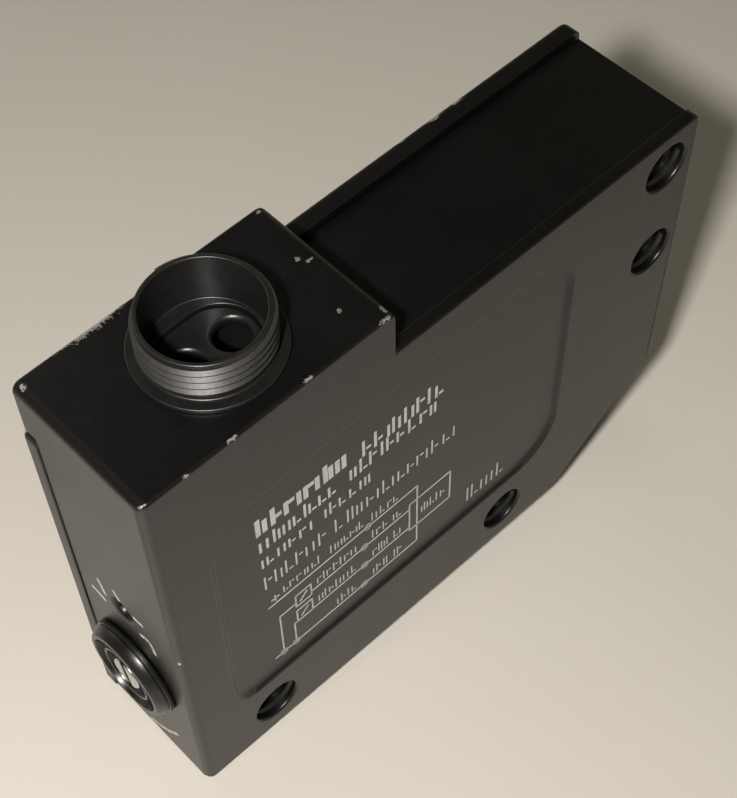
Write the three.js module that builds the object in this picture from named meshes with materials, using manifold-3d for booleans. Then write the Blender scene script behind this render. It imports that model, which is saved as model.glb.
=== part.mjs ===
// Fibre-optic photoelectric sensor in a flat metal housing, 60 x 15 x 45 mm, standing on its narrow
// bottom face. Millimetres, +Z up. The label face looks along -Y and the cover closes the +Y side.
// The origin is on the bottom face, half way along the housing and half way through its thickness.

import * as THREE from 'three';
import { mergeVertices } from 'three/addons/utils/BufferGeometryUtils.js';
import Module from 'manifold-3d';

const wasm = await Module();
wasm.setup();

// Housing
const LENGTH = 60;
const THICKNESS = 15;
const HEIGHT = 44.5;
const BLOCK_LENGTH = 24.7; // the raised block that carries the fibre port
const BLOCK_HEIGHT = 49.5;
const CHAMFER_RUN = 13;
const CHAMFER_RISE = 10.8;
const WALL = 1.8;
const PANEL_DEPTH = 0.35; // label panel, sunk into the front
const BAND_DEPTH = 0.35; // band along the top and the right end, between the front lip and the cover
const FRONT_LIP = 1.2;
const MOUNTING_HOLES = [[26.4, 40.5], [26.4, 29.5], [9, 4.5], [-21, 4.5]];
const HOLE_RADIUS = 2.4;
const BOSS_RADIUS = 3.6;

// Back cover
const COVER_THICKNESS = 1.8;
const COVER_PROUD = 0.4; // how far its rim stands out of the back and the low top
const SEAL_WIDTH = 0.5;
const SCREW_PLACES = [[-26.2, 40], [-1, 40], [26.2, 17.5], [-6, 4.2]];
const SCREW_RADIUS = 1;
const SCREW_HEAD_RADIUS = 1.8;

// Fibre port on the block
const PORT_X = -17.3;
const PORT_RADIUS = 5.4; // over the thread
const PORT_BORE = 4.7;
const PORT_RISE = 4.4; // above the block
const PORT_SPIGOT = 5;
const THREAD_PITCH = 0.75;
const FIBRE_OFFSET = 2.2; // from the port axis to each fibre bore
const FIBRE_BORE = 1.5;
const GUIDE_RADIUS = 3.3;
const GUIDE_OFFSET = 1;

// Sensitivity adjuster and indicator on the left end
const KNOB_Z = 14.2;
const KNOB_BASE_RADIUS = 5.3;
const KNOB_FACE_RADIUS = 4.7;
const KNOB_HEIGHT = 1.5;
const SPINDLE_RADIUS = 1.5;
const RUNNING_GAP = 0.06;
const INDICATOR_Z = 24.4;
const INDICATOR_RADIUS = 1.4;

// Connector on the chamfer
const CONNECTOR_ALONG = 7.5; // from the lower corner of the chamfer to the connector's axis
const CONNECTOR_REACH = 11;
const CONNECTOR_RADIUS = 4;
const CONNECTOR_BORE = 2.95;
const PIN_CIRCLE = 1.6;
const PIN_RADIUS = 0.5;

// Circuit board, upright behind the front wall
const BOARD_FRONT = 1.2;
const BOARD_THICKNESS = 1.2;
const BOARD_SCREWS = [[-11.5, 31], [19.6, 30.6]];

// Gaps between solids that touch on the real part
const GAP = 0.1;
const FACE_GAP = 0.05;

// Places worked out from the sizes above
const LEFT = -LENGTH / 2;
const RIGHT = LENGTH / 2;
const FRONT = -THICKNESS / 2;
const BACK = THICKNESS / 2;
const BLOCK_RIGHT = LEFT + BLOCK_LENGTH;
const CHAMFER_X = RIGHT - CHAMFER_RUN;
const CHAMFER_ANGLE = Math.atan2(CHAMFER_RISE, CHAMFER_RUN);
const COVER_BACK = BACK + COVER_PROUD;
const COVER_FRONT = COVER_BACK - COVER_THICKNESS;
const SHELL_BACK = COVER_FRONT - 2 * FACE_GAP;
const COVER_STEP = HEIGHT - 1; // where the cover stops under the block

const ROUND = 40;
const SMALL_ROUND = 20;

const FINISHES = {
  blackMetal: { color: 0x1c1c1c, roughness: 0.45, metalness: 0.6 },
  blackPlastic: { color: 0x141414, roughness: 0.55, metalness: 0 },
  rubber: { color: 0x0c0c0c, roughness: 0.8, metalness: 0 },
  steel: { color: 0x9a9a98, roughness: 0.35, metalness: 1 },
  gold: { color: 0xc9a14a, roughness: 0.3, metalness: 1 },
  nickel: { color: 0xb8b4a8, roughness: 0.3, metalness: 1 },
  boardGreen: { color: 0x1f5a34, roughness: 0.5, metalness: 0 },
  lens: { color: 0xd8a020, roughness: 0.15, metalness: 0 },
  clearResin: { color: 0xd8dde0, roughness: 0.1, metalness: 0 },
  whitePlastic: { color: 0xd9d6cc, roughness: 0.5, metalness: 0 },
  wireBrown: { color: 0x5a3420, roughness: 0.6, metalness: 0 },
  wireWhite: { color: 0xd8d4c8, roughness: 0.6, metalness: 0 },
  wireBlue: { color: 0x244a9a, roughness: 0.6, metalness: 0 },
  wireBlack: { color: 0x161616, roughness: 0.6, metalness: 0 },
};

const part = new THREE.Group();

// Turns a closed three.js geometry into a solid that can be joined and cut.
function solid(geometry) {
  const bare = geometry.index ? geometry.toNonIndexed() : geometry.clone();
  bare.deleteAttribute('normal');
  bare.deleteAttribute('uv');
  const merged = mergeVertices(bare, 1e-5);
  const index = merged.index.array;
  const triangles = [];
  for (let i = 0; i < index.length; i += 3) {
    const [a, b, c] = [index[i], index[i + 1], index[i + 2]];
    if (a !== b && b !== c && c !== a) triangles.push(a, b, c);
  }
  return new wasm.Manifold(new wasm.Mesh({
    numProp: 3,
    vertProperties: new Float32Array(merged.attributes.position.array),
    triVerts: new Uint32Array(triangles),
  }));
}

function addPiece(name, shape, finish) {
  const { vertProperties, triVerts, numProp } = shape.getMesh();
  const positions = new Float32Array(vertProperties.length / numProp * 3);
  for (let i = 0; i < positions.length / 3; i += 1) {
    positions.set(vertProperties.subarray(i * numProp, i * numProp + 3), i * 3);
  }
  const geometry = new THREE.BufferGeometry();
  geometry.setAttribute('position', new THREE.BufferAttribute(positions, 3));
  geometry.setIndex(new THREE.BufferAttribute(new Uint32Array(triVerts), 1));
  geometry.computeVertexNormals();
  const mesh = new THREE.Mesh(geometry, new THREE.MeshStandardMaterial(FINISHES[finish]));
  mesh.name = name;
  part.add(mesh);
}

function joined(...solids) {
  return solids.reduce((whole, next) => whole.add(next));
}

function box([x0, x1], [y0, y1], [z0, z1]) {
  const geometry = new THREE.BoxGeometry(x1 - x0, y1 - y0, z1 - z0);
  geometry.translate((x0 + x1) / 2, (y0 + y1) / 2, (z0 + z1) / 2);
  return solid(geometry);
}

// A closed outline in X and Z. Each corner is [x, z, radius] and is rounded between its neighbours.
function outline(corners) {
  const shape = new THREE.Shape();
  corners.forEach(([x, z, radius], i) => {
    const [beforeX, beforeZ] = corners[(i + corners.length - 1) % corners.length];
    const [afterX, afterZ] = corners[(i + 1) % corners.length];
    const before = new THREE.Vector2(beforeX - x, beforeZ - z).normalize();
    const after = new THREE.Vector2(afterX - x, afterZ - z).normalize();
    const reach = radius / Math.tan(before.angleTo(after) / 2);
    const start = new THREE.Vector2(x, z).addScaledVector(before, reach);
    const end = new THREE.Vector2(x, z).addScaledVector(after, reach);
    if (i === 0) shape.moveTo(start.x, start.y);
    else shape.lineTo(start.x, start.y);
    shape.quadraticCurveTo(x, z, end.x, end.y);
  });
  shape.closePath();
  return shape;
}

// An outline in X and Z, made a plate between two depths along Y.
function plate(shape, y0, y1) {
  const geometry = new THREE.ExtrudeGeometry(shape, {
    depth: y1 - y0, bevelEnabled: false, curveSegments: 6,
  });
  geometry.rotateX(Math.PI / 2);
  geometry.translate(0, y1, 0);
  return solid(geometry);
}

// A profile of [radius, height] points, turned about the axis that starts at `origin` and runs
// along `axis`. The profile goes up on the outside and down on the inside.
function turned(profile, origin, axis, segments = ROUND) {
  const points = profile.map(([radius, height]) => new THREE.Vector2(radius, height));
  const first = points[0];
  if (first.x > 0 || points.at(-1).x > 0) points.push(first.clone());
  const geometry = new THREE.LatheGeometry(points, segments);
  const turn = new THREE.Quaternion().setFromUnitVectors(new THREE.Vector3(0, 1, 0), axis);
  geometry.applyQuaternion(turn);
  geometry.translate(origin.x, origin.y, origin.z);
  return solid(geometry);
}

function rod(radius, from, to, origin, axis, segments = ROUND) {
  return turned([[0, from], [radius, from], [radius, to], [0, to]], origin, axis, segments);
}

function tube(outer, inner, from, to, origin, axis, segments = ROUND) {
  return turned([[inner, from], [outer, from], [outer, to], [inner, to]], origin, axis, segments);
}

function ring(middle, thickness, height, origin, axis, segments = ROUND) {
  const profile = [];
  for (let i = 0; i < 8; i += 1) {
    const angle = i / 8 * 2 * Math.PI;
    profile.push([middle + thickness * Math.cos(angle), height + thickness * Math.sin(angle)]);
  }
  return turned(profile, origin, axis, segments);
}

// The ridges of a thread, as a profile that goes up from `from` to `to`.
function ridges(crest, root, from, to, pitch) {
  const turns = Math.floor((to - from) / pitch);
  const profile = [];
  for (let i = 0; i < turns; i += 1) {
    profile.push([root, from + i * pitch], [crest, from + (i + 0.4) * pitch]);
    profile.push([crest, from + (i + 0.6) * pitch]);
  }
  profile.push([root, from + turns * pitch]);
  return profile;
}

const ALONG_X = new THREE.Vector3(1, 0, 0);
const ALONG_Y = new THREE.Vector3(0, 1, 0);
const ALONG_Z = new THREE.Vector3(0, 0, 1);

function along(x, z) {
  return new THREE.Vector3(x, 0, z);
}

// ---- Housing and cover

// The outline of the housing, pulled in all round. Without the block it is the cover's outline.
function caseOutline(inset, withBlock) {
  const chamferFoot = CHAMFER_X - inset * Math.tan(CHAMFER_ANGLE / 2);
  const chamferHead = CHAMFER_RISE + inset * Math.tan((Math.PI / 2 - CHAMFER_ANGLE) / 2);
  const corner = Math.max(0.9 - inset / 2, 0.3);
  const corners = [
    [LEFT + inset, inset, corner],
    [chamferFoot, inset, 4],
    [RIGHT - inset, chamferHead, 3],
    [RIGHT - inset, HEIGHT - inset, corner],
  ];
  if (!withBlock) return outline([...corners, [LEFT + inset, HEIGHT - inset, corner]]);
  return outline([
    ...corners,
    [BLOCK_RIGHT - inset, HEIGHT - inset, 0.3],
    [BLOCK_RIGHT - inset, BLOCK_HEIGHT - inset, corner],
    [LEFT + inset, BLOCK_HEIGHT - inset, corner],
  ]);
}

function labelPanel() {
  const panel = outline([[-25, 9.7, 2.5], [15.4, 9.7, 5], [15.4, 39.5, 5], [-25, 39.5, 5]]);
  return plate(panel, FRONT - 1, FRONT + PANEL_DEPTH);
}

const portOrigin = along(PORT_X, BLOCK_HEIGHT);
const knobOrigin = along(LEFT, KNOB_Z);
const OUTWARD = new THREE.Vector3(-1, 0, 0);
const indicatorOrigin = along(LEFT, INDICATOR_Z);
const chamferDirection = along(Math.cos(CHAMFER_ANGLE), Math.sin(CHAMFER_ANGLE));
const connectorAxis = along(Math.sin(CHAMFER_ANGLE), -Math.cos(CHAMFER_ANGLE));
const connectorOrigin = along(CHAMFER_X, 0).addScaledVector(chamferDirection, CONNECTOR_ALONG);

function housing() {
  let body = plate(caseOutline(0, true), FRONT, BACK);
  const behindShell = [SHELL_BACK, BACK + 1];
  body = body.subtract(box([LEFT - 1, RIGHT + 1], behindShell, [-1, COVER_STEP + GAP]));
  body = body.subtract(box([BLOCK_RIGHT - GAP, RIGHT + 1], behindShell, [COVER_STEP - 1, BLOCK_HEIGHT]));
  const cavity = plate(caseOutline(WALL, false), FRONT + WALL, SHELL_BACK + 1);
  body = body.subtract(cavity);

  const inside = plate(caseOutline(WALL / 2, false), FRONT + 1, SHELL_BACK);
  MOUNTING_HOLES.forEach(([x, z]) => {
    const boss = rod(BOSS_RADIUS, FRONT + 1, SHELL_BACK, along(x, z), ALONG_Y, 32);
    body = body.add(boss.intersect(inside));
  });
  SCREW_PLACES.forEach(([x, z]) => {
    const boss = rod(2.2, FRONT + 1, SHELL_BACK, along(x, z), ALONG_Y, SMALL_ROUND);
    const pilot = rod(SCREW_RADIUS + GAP, 0, BACK + 1, along(x, z), ALONG_Y, SMALL_ROUND);
    body = body.add(boss.intersect(inside)).subtract(pilot);
  });
  BOARD_SCREWS.forEach(([x, z]) => {
    const post = rod(1.9, FRONT + 1, BOARD_FRONT - FACE_GAP, along(x, z), ALONG_Y, SMALL_ROUND);
    const pilot = rod(SCREW_RADIUS + GAP, -3, BACK, along(x, z), ALONG_Y, SMALL_ROUND);
    body = body.add(post).subtract(pilot);
  });
  MOUNTING_HOLES.forEach(([x, z]) => {
    body = body.subtract(rod(HOLE_RADIUS, -THICKNESS, THICKNESS, along(x, z), ALONG_Y, 32));
  });

  body = body.subtract(labelPanel());
  const bandFront = FRONT + FRONT_LIP;
  const bandTop = HEIGHT - BAND_DEPTH;
  body = body.subtract(box([BLOCK_RIGHT + 0.4, RIGHT + 1], [bandFront, BACK + 1], [bandTop, HEIGHT + 1]));
  const bandEnd = [RIGHT - BAND_DEPTH, RIGHT + 1];
  body = body.subtract(box(bandEnd, [bandFront, BACK + 1], [CHAMFER_RISE + 3, HEIGHT + 1]));

  body = body.subtract(rod(PORT_SPIGOT + GAP, -12, 1, portOrigin, ALONG_Z));
  body = body.subtract(rod(3, -3, 1, knobOrigin, OUTWARD, 32));
  body = body.subtract(rod(INDICATOR_RADIUS + GAP, -3, 1, indicatorOrigin, OUTWARD, SMALL_ROUND));
  return body.subtract(rod(CONNECTOR_RADIUS + GAP, -6, 2, connectorOrigin, connectorAxis));
}

// The cover's edge stands a little proud of the low top and stops under the block.
function backCover() {
  const corners = [
    [LEFT - 0.15, 0, 0.9],
    [CHAMFER_X, 0, 4],
    [RIGHT, CHAMFER_RISE, 3],
    [RIGHT, HEIGHT + COVER_PROUD, 0.9],
    [BLOCK_RIGHT + 0.2, HEIGHT + COVER_PROUD, 0.4],
    [BLOCK_RIGHT + 0.2, COVER_STEP, 0.3],
    [LEFT - 0.15, COVER_STEP, 0.9],
  ];
  let cover = plate(outline(corners), COVER_FRONT, COVER_BACK);
  MOUNTING_HOLES.forEach(([x, z]) => {
    cover = cover.subtract(rod(HOLE_RADIUS, 0, THICKNESS, along(x, z), ALONG_Y, 32));
  });
  const under = COVER_BACK - COVER_FRONT;
  SCREW_PLACES.forEach(([x, z]) => {
    const seat = turned([
      [0, -1], [SCREW_RADIUS + 0.2, -1], [SCREW_RADIUS + 0.2, under - 1],
      [SCREW_HEAD_RADIUS + 0.2, under - 0.15], [SCREW_HEAD_RADIUS + 0.2, under + 1], [0, under + 1],
    ], new THREE.Vector3(x, COVER_FRONT, z), ALONG_Y, SMALL_ROUND);
    cover = cover.subtract(seat);
  });
  return cover.subtract(sealRing(SEAL_WIDTH / 2 + GAP, COVER_FRONT - 1, COVER_FRONT + 0.65));
}

// A narrow ring just inside the edge of the cover, `half` wide each way.
function sealRing(half, y0, y1) {
  const middle = 0.6;
  const outer = plate(sealOutline(middle - half), y0, y1);
  return outer.subtract(plate(sealOutline(middle + half), y0 - 1, y1 + 1));
}

function sealOutline(inset) {
  const foot = CHAMFER_X - inset * Math.tan(CHAMFER_ANGLE / 2);
  const head = CHAMFER_RISE + inset * Math.tan((Math.PI / 2 - CHAMFER_ANGLE) / 2);
  return outline([
    [LEFT + inset, inset, 0.3],
    [foot, inset, 4],
    [RIGHT - inset - BAND_DEPTH, head + BAND_DEPTH, 3],
    [RIGHT - inset - BAND_DEPTH, COVER_STEP - inset, 0.3],
    [LEFT + inset, COVER_STEP - inset, 0.3],
  ]);
}

function coverScrew(x, z) {
  const origin = new THREE.Vector3(x, COVER_BACK, z);
  const screw = turned([
    [0, -7], [SCREW_RADIUS, -7], [SCREW_RADIUS, -0.95],
    [SCREW_HEAD_RADIUS, -0.15], [SCREW_HEAD_RADIUS, -0.1], [0, -0.1],
  ], origin, ALONG_Y, SMALL_ROUND);
  const slot = box([x - 2, x + 2], [COVER_BACK - 0.55, COVER_BACK + 1], [z - 0.2, z + 0.2]);
  return screw.subtract(slot);
}

addPiece('housing', housing(), 'blackMetal');
addPiece('back_cover', backCover(), 'blackMetal');
addPiece('cover_seal', sealRing(SEAL_WIDTH / 2, COVER_FRONT - FACE_GAP, COVER_FRONT + 0.6), 'rubber');
SCREW_PLACES.forEach(([x, z], i) => addPiece(`cover_screw_${i + 1}`, coverScrew(x, z), 'steel'));

// ---- Fibre port: threaded collar, ferrule guide, and the emitter and receiver under it

function stadium(radius, offset, z0, z1) {
  const ends = [-offset, offset].map((x) => (
    rod(radius, z0, z1, along(PORT_X + x, 0), ALONG_Z)
  ));
  const middle = box([PORT_X - offset, PORT_X + offset], [-radius, radius], [z0, z1]);
  return joined(...ends, middle);
}

function portCollar() {
  const flangeTop = 0.8;
  const threadFrom = flangeTop + 0.35;
  const thread = ridges(PORT_RADIUS, PORT_RADIUS - 0.32, threadFrom, PORT_RISE - 0.15, THREAD_PITCH);
  const floorTop = -0.3;
  const body = turned([
    [PORT_BORE - 0.5, -5], [PORT_SPIGOT, -5], [PORT_SPIGOT, FACE_GAP],
    [6.3, FACE_GAP], [6.3, flangeTop - 0.2], [6.1, flangeTop],
    ...thread,
    [PORT_RADIUS - 0.3, PORT_RISE], [PORT_BORE, PORT_RISE], [PORT_BORE, floorTop],
    [2, floorTop], [2, -2], [PORT_BORE - 0.5, -2],
  ], portOrigin, ALONG_Z);
  const top = BLOCK_HEIGHT;
  return body.subtract(stadium(GUIDE_RADIUS + GAP, GUIDE_OFFSET, top - 6, top + 1));
}

const guideTop = BLOCK_HEIGHT - 0.6;
const guideFoot = BLOCK_HEIGHT - 8.5;

function fibreBores(radius, z0, z1) {
  return joined(...[-FIBRE_OFFSET, FIBRE_OFFSET].map((x) => (
    rod(radius, z0, z1, along(PORT_X + x, 0), ALONG_Z, 32)
  )));
}

function ferruleGuide() {
  const flange = stadium(GUIDE_RADIUS + 0.6, GUIDE_OFFSET - 0.2, BLOCK_HEIGHT - 6.5, BLOCK_HEIGHT - 5.2);
  return joined(stadium(GUIDE_RADIUS, GUIDE_OFFSET, guideFoot, guideTop), flange)
    .subtract(fibreBores(FIBRE_BORE, guideFoot - 1, guideTop + 1));
}

const carrierTop = guideFoot - GAP;
const carrierFoot = 34.4;

function opticsCarrier() {
  const block = box([PORT_X - 5.2, PORT_X + 5.2], [-3.7, 3.7], [carrierFoot, carrierTop]);
  return block.subtract(fibreBores(1.95, carrierFoot - 1, carrierTop + 1));
}

// A lamp or a photodiode in a round resin body, with two leads that reach down to the board.
function opticalElement(x, domeRise) {
  const foot = carrierFoot + 0.4;
  const body = turned([
    [0, foot], [1.8, foot], [1.8, foot + 0.7], [1.4, foot + 0.7], [1.4, carrierTop - 1],
    [1.4 * Math.cos(Math.PI / 4), carrierTop - 1 + domeRise * 0.7], [0, carrierTop - 1 + domeRise],
  ], along(x, 0), ALONG_Z, SMALL_ROUND);
  const leads = [-0.8, 0.8].map((dx) => (
    box([x + dx - 0.2, x + dx + 0.2], [0.55, BOARD_FRONT - FACE_GAP], [30.8, foot + 0.3])
  ));
  return joined(body, ...leads);
}

addPiece('port_collar', portCollar(), 'blackMetal');
addPiece('ferrule_guide', ferruleGuide(), 'blackPlastic');
addPiece('optics_carrier', opticsCarrier(), 'blackPlastic');
addPiece('emitter_led', opticalElement(PORT_X + FIBRE_OFFSET, 0.9), 'clearResin');
addPiece('receiver_photodiode', opticalElement(PORT_X - FIBRE_OFFSET, 0.4), 'clearResin');

// ---- Sensitivity adjuster: knob, spindle, bush, seal and the potentiometer that it turns

const BUSH_BORE = SPINDLE_RADIUS + RUNNING_GAP;
const KNOB_RECESS = 2.4;

function knob() {
  const face = KNOB_HEIGHT + 0.15;
  return turned([
    [SPINDLE_RADIUS + 0.04, 0.15], [KNOB_BASE_RADIUS, 0.15], [KNOB_BASE_RADIUS - 0.05, face - 0.5],
    [KNOB_FACE_RADIUS, face], [KNOB_FACE_RADIUS - 0.6, face], [KNOB_FACE_RADIUS - 0.8, face - 0.3],
    [KNOB_RECESS, face - 0.3], [KNOB_RECESS, face - 1.1], [SPINDLE_RADIUS + 0.04, face - 1.1],
  ], knobOrigin, OUTWARD);
}

const ROTOR_INNER = -3.9;

function spindle() {
  const head = KNOB_HEIGHT - 0.1;
  const shaft = turned([
    [0, ROTOR_INNER], [SPINDLE_RADIUS, ROTOR_INNER], [SPINDLE_RADIUS, head - 0.85],
    [SPINDLE_RADIUS + 0.15, head - 0.85], [SPINDLE_RADIUS + 0.15, head - 0.1],
    [SPINDLE_RADIUS, head], [0, head],
  ], knobOrigin, OUTWARD, 40);
  const slotX = LEFT - head;
  return shaft.subtract(box([slotX - 1, slotX + 0.5], [-0.25, 0.25], [KNOB_Z - 2, KNOB_Z + 2]));
}

function spindleBush() {
  return turned([
    [BUSH_BORE, -2.6], [3.7, -2.6], [3.7, -WALL - FACE_GAP], [2.85, -WALL - FACE_GAP],
    [2.85, -0.05], [BUSH_BORE, -0.05], [BUSH_BORE, -0.5], [2.35, -0.5], [2.35, -1.3],
    [BUSH_BORE, -1.3],
  ], knobOrigin, OUTWARD, 40);
}

function rotor() {
  const disc = tube(2.6, SPINDLE_RADIUS + 0.04, ROTOR_INNER, -3, knobOrigin, OUTWARD, 40);
  const stop = box([LEFT + 3, LEFT - ROTOR_INNER], [-0.35, 0.35], [KNOB_Z + 2.4, KNOB_Z + 2.85]);
  return disc.add(stop);
}

const potFloor = 4.6;

function wiper() {
  const arm = box([LEFT + 3.95, LEFT + 4.1], [-0.4, 0.4], [KNOB_Z + 1.6, KNOB_Z + 2.5]);
  const tip = box([LEFT + 4.1, LEFT + potFloor - 0.3], [-0.3, 0.3], [KNOB_Z + 1.9, KNOB_Z + 2.3]);
  return joined(arm, tip);
}

// An open ring on the floor of the potentiometer, with its gap at the bottom.
function resistiveTrack() {
  const track = tube(2.6, 1.5, -potFloor + FACE_GAP, -potFloor + 0.25, knobOrigin, OUTWARD, 40);
  const gap = box([LEFT, LEFT + 8], [-0.7, 0.7], [KNOB_Z - 4, KNOB_Z]);
  return track.subtract(gap);
}

function potentiometerBody() {
  const rear = 7.4;
  const block = box([LEFT + 2.7, LEFT + rear], [-3.6, 3.6], [KNOB_Z - 3.6, KNOB_Z + 3.6]);
  const hollow = rod(3, -potFloor, 0, knobOrigin, OUTWARD, 40);
  const stop = box([LEFT + 3, LEFT + potFloor + 0.5], [-0.4, 0.4], [KNOB_Z - 3.3, KNOB_Z - 2.7]);
  const terminals = [-2.4, 0, 2.4].map((dz) => box(
    [LEFT + rear - 0.5, -18.4], [0.55, BOARD_FRONT - FACE_GAP], [KNOB_Z + dz - 0.3, KNOB_Z + dz + 0.3],
  ));
  return joined(block.subtract(hollow), stop, ...terminals);
}

addPiece('sensitivity_knob', knob(), 'blackPlastic');
addPiece('adjuster_spindle', spindle(), 'nickel');
addPiece('spindle_bush', spindleBush(), 'nickel');
addPiece('spindle_seal', ring(1.97, 0.33, -0.9, knobOrigin, OUTWARD, 32), 'rubber');
addPiece('potentiometer_rotor', rotor(), 'whitePlastic');
addPiece('potentiometer_wiper', wiper(), 'nickel');
addPiece('resistive_track', resistiveTrack(), 'blackPlastic');
addPiece('potentiometer_body', potentiometerBody(), 'whitePlastic');

// ---- Indicator: a light pipe in the end wall and the lamp behind it

function indicatorLens() {
  const radius = INDICATOR_RADIUS;
  return turned([
    [0, -3.4], [radius, -3.4], [radius, -2.5], [2.1, -2.5], [2.1, -WALL - FACE_GAP],
    [radius, -WALL - FACE_GAP], [radius, -0.6], [radius * 0.7, -0.35], [0, -0.25],
  ], indicatorOrigin, OUTWARD, SMALL_ROUND);
}

function indicatorLamp() {
  const body = turned([
    [0, -7], [1.75, -7], [1.75, -6.3], [1.45, -6.3], [1.45, -4.2], [1, -3.7], [0, -3.5],
  ], indicatorOrigin, OUTWARD, SMALL_ROUND);
  const leads = [-0.9, 0.9].map((dz) => box(
    [LEFT + 6.5, -18.4], [0.55, BOARD_FRONT - FACE_GAP], [INDICATOR_Z + dz - 0.2, INDICATOR_Z + dz + 0.2],
  ));
  return joined(body, ...leads);
}

addPiece('indicator_lens', indicatorLens(), 'lens');
addPiece('indicator_led', indicatorLamp(), 'clearResin');

// ---- Circuit board and what is soldered to it

function circuitBoard() {
  const shape = outline([
    [-19.4, 9, 0.5], [10.4, 9, 0.5], [22.2, 20.2, 0.5], [22.2, 33.2, 0.5], [-19.4, 33.2, 0.5],
  ]);
  const board = plate(shape, BOARD_FRONT, BOARD_FRONT + BOARD_THICKNESS);
  return BOARD_SCREWS.reduce((cut, [x, z]) => (
    cut.subtract(rod(SCREW_RADIUS + 0.2, 0, BACK, along(x, z), ALONG_Y, SMALL_ROUND))
  ), board);
}

function boardScrew(x, z) {
  const headFrom = BOARD_FRONT + BOARD_THICKNESS + FACE_GAP;
  const screw = turned([
    [0, -2.5], [SCREW_RADIUS, -2.5], [SCREW_RADIUS, headFrom], [1.9, headFrom],
    [1.9, headFrom + 0.9], [1.4, headFrom + 1.2], [0, headFrom + 1.2],
  ], along(x, z), ALONG_Y, SMALL_ROUND);
  const slotY = [headFrom + 0.6, headFrom + 2];
  return screw.subtract(box([x - 2, x + 2], slotY, [z - 0.2, z + 0.2]));
}

const PART_BACK = BOARD_FRONT - FACE_GAP;

// A flat chip in front of the board, centred on x and z, with a row of legs above and below.
function chip(x, z, width, height, legs) {
  const body = box(
    [x - width / 2, x + width / 2], [PART_BACK - 1.6, PART_BACK - 0.15], [z - height / 2, z + height / 2],
  );
  const feet = [];
  for (let i = 0; i < legs; i += 1) {
    const legX = x + (i - (legs - 1) / 2) * 1.27;
    feet.push(box(
      [legX - 0.2, legX + 0.2], [PART_BACK - 0.4, PART_BACK], [z - height / 2 - 1, z + height / 2 + 1],
    ));
  }
  return joined(body, ...feet);
}

function canCapacitor(x, z, radius, reach) {
  return turned([
    [0, 0], [radius, 0], [radius, 0.8], [radius - 0.15, 1.1], [radius, 1.4],
    [radius, reach - 0.3], [radius - 0.3, reach], [0, reach],
  ], new THREE.Vector3(x, PART_BACK, z), new THREE.Vector3(0, -1, 0), SMALL_ROUND);
}

function blockPart(x, z, width, height, reach) {
  return box(
    [x - width / 2, x + width / 2], [PART_BACK - reach, PART_BACK], [z - height / 2, z + height / 2],
  );
}

addPiece('circuit_board', circuitBoard(), 'boardGreen');
BOARD_SCREWS.forEach(([x, z], i) => addPiece(`board_screw_${i + 1}`, boardScrew(x, z), 'steel'));
addPiece('signal_chip', chip(-5, 26.5, 8.7, 3.9, 7), 'blackPlastic');
addPiece('comparator_chip', chip(7.5, 26.5, 5, 3.9, 4), 'blackPlastic');
addPiece('light_output_transistor', chip(17.2, 25.5, 4.5, 2.6, 3), 'blackPlastic');
addPiece('dark_output_transistor', chip(7, 19, 4.5, 2.6, 3), 'blackPlastic');
addPiece('smoothing_capacitor', canCapacitor(-2.5, 16, 2.5, 5), 'nickel');
addPiece('filter_capacitor', blockPart(-10, 19.5, 6, 3.2, 2.5), 'lens');
addPiece('reverse_polarity_diode', blockPart(2.5, 12.5, 4.3, 2.6, 2), 'blackPlastic');

// ---- Connector in the chamfer: threaded shell, seal, nut, insulator, pins and their wires

const shellStep = 3.2;

function connectorShell() {
  const thread = ridges(CONNECTOR_RADIUS, CONNECTOR_RADIUS - 0.4, 2.6, CONNECTOR_REACH - 0.4, 1);
  const body = turned([
    [CONNECTOR_BORE, -4.8], [CONNECTOR_RADIUS, -4.8], [CONNECTOR_RADIUS, FACE_GAP],
    [5.2, FACE_GAP], [5.2, 1.3], [5, 1.5],
    ...thread,
    [CONNECTOR_RADIUS - 0.4, CONNECTOR_REACH], [CONNECTOR_BORE, CONNECTOR_REACH],
  ], connectorOrigin, connectorAxis, 32);
  return body.subtract(tube(4.95, 4.25, -1, 0.7, connectorOrigin, connectorAxis, 32));
}

function connectorNut() {
  const geometry = new THREE.CylinderGeometry(5.4, 5.4, 2.4, 6);
  geometry.rotateY(Math.PI / 6);
  const turn = new THREE.Quaternion().setFromUnitVectors(new THREE.Vector3(0, 1, 0), connectorAxis);
  geometry.applyQuaternion(turn);
  const middle = connectorOrigin.clone().addScaledVector(connectorAxis, -WALL - 1.5);
  geometry.translate(middle.x, middle.y, middle.z);
  return solid(geometry)
    .subtract(rod(CONNECTOR_RADIUS + GAP, -8, 0, connectorOrigin, connectorAxis));
}

function pinPlace(i) {
  const angle = (i + 0.5) * Math.PI / 2;
  return connectorOrigin.clone()
    .addScaledVector(chamferDirection, PIN_CIRCLE * Math.cos(angle))
    .add(new THREE.Vector3(0, PIN_CIRCLE * Math.sin(angle), 0));
}

const pinFoot = -6.6;

function connectorInsulator() {
  const body = rod(CONNECTOR_BORE - GAP, -5.6, shellStep, connectorOrigin, connectorAxis);
  return [0, 1, 2, 3].reduce((cut, i) => (
    cut.subtract(rod(PIN_RADIUS + FACE_GAP, -7, 5, pinPlace(i), connectorAxis, 16))
  ), body);
}

function contactPin(i) {
  const tip = CONNECTOR_REACH - 1.4;
  return turned([
    [0, pinFoot], [PIN_RADIUS, pinFoot], [PIN_RADIUS, tip - 0.5], [PIN_RADIUS * 0.6, tip - 0.1],
    [0, tip],
  ], pinPlace(i), connectorAxis, 16);
}

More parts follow.
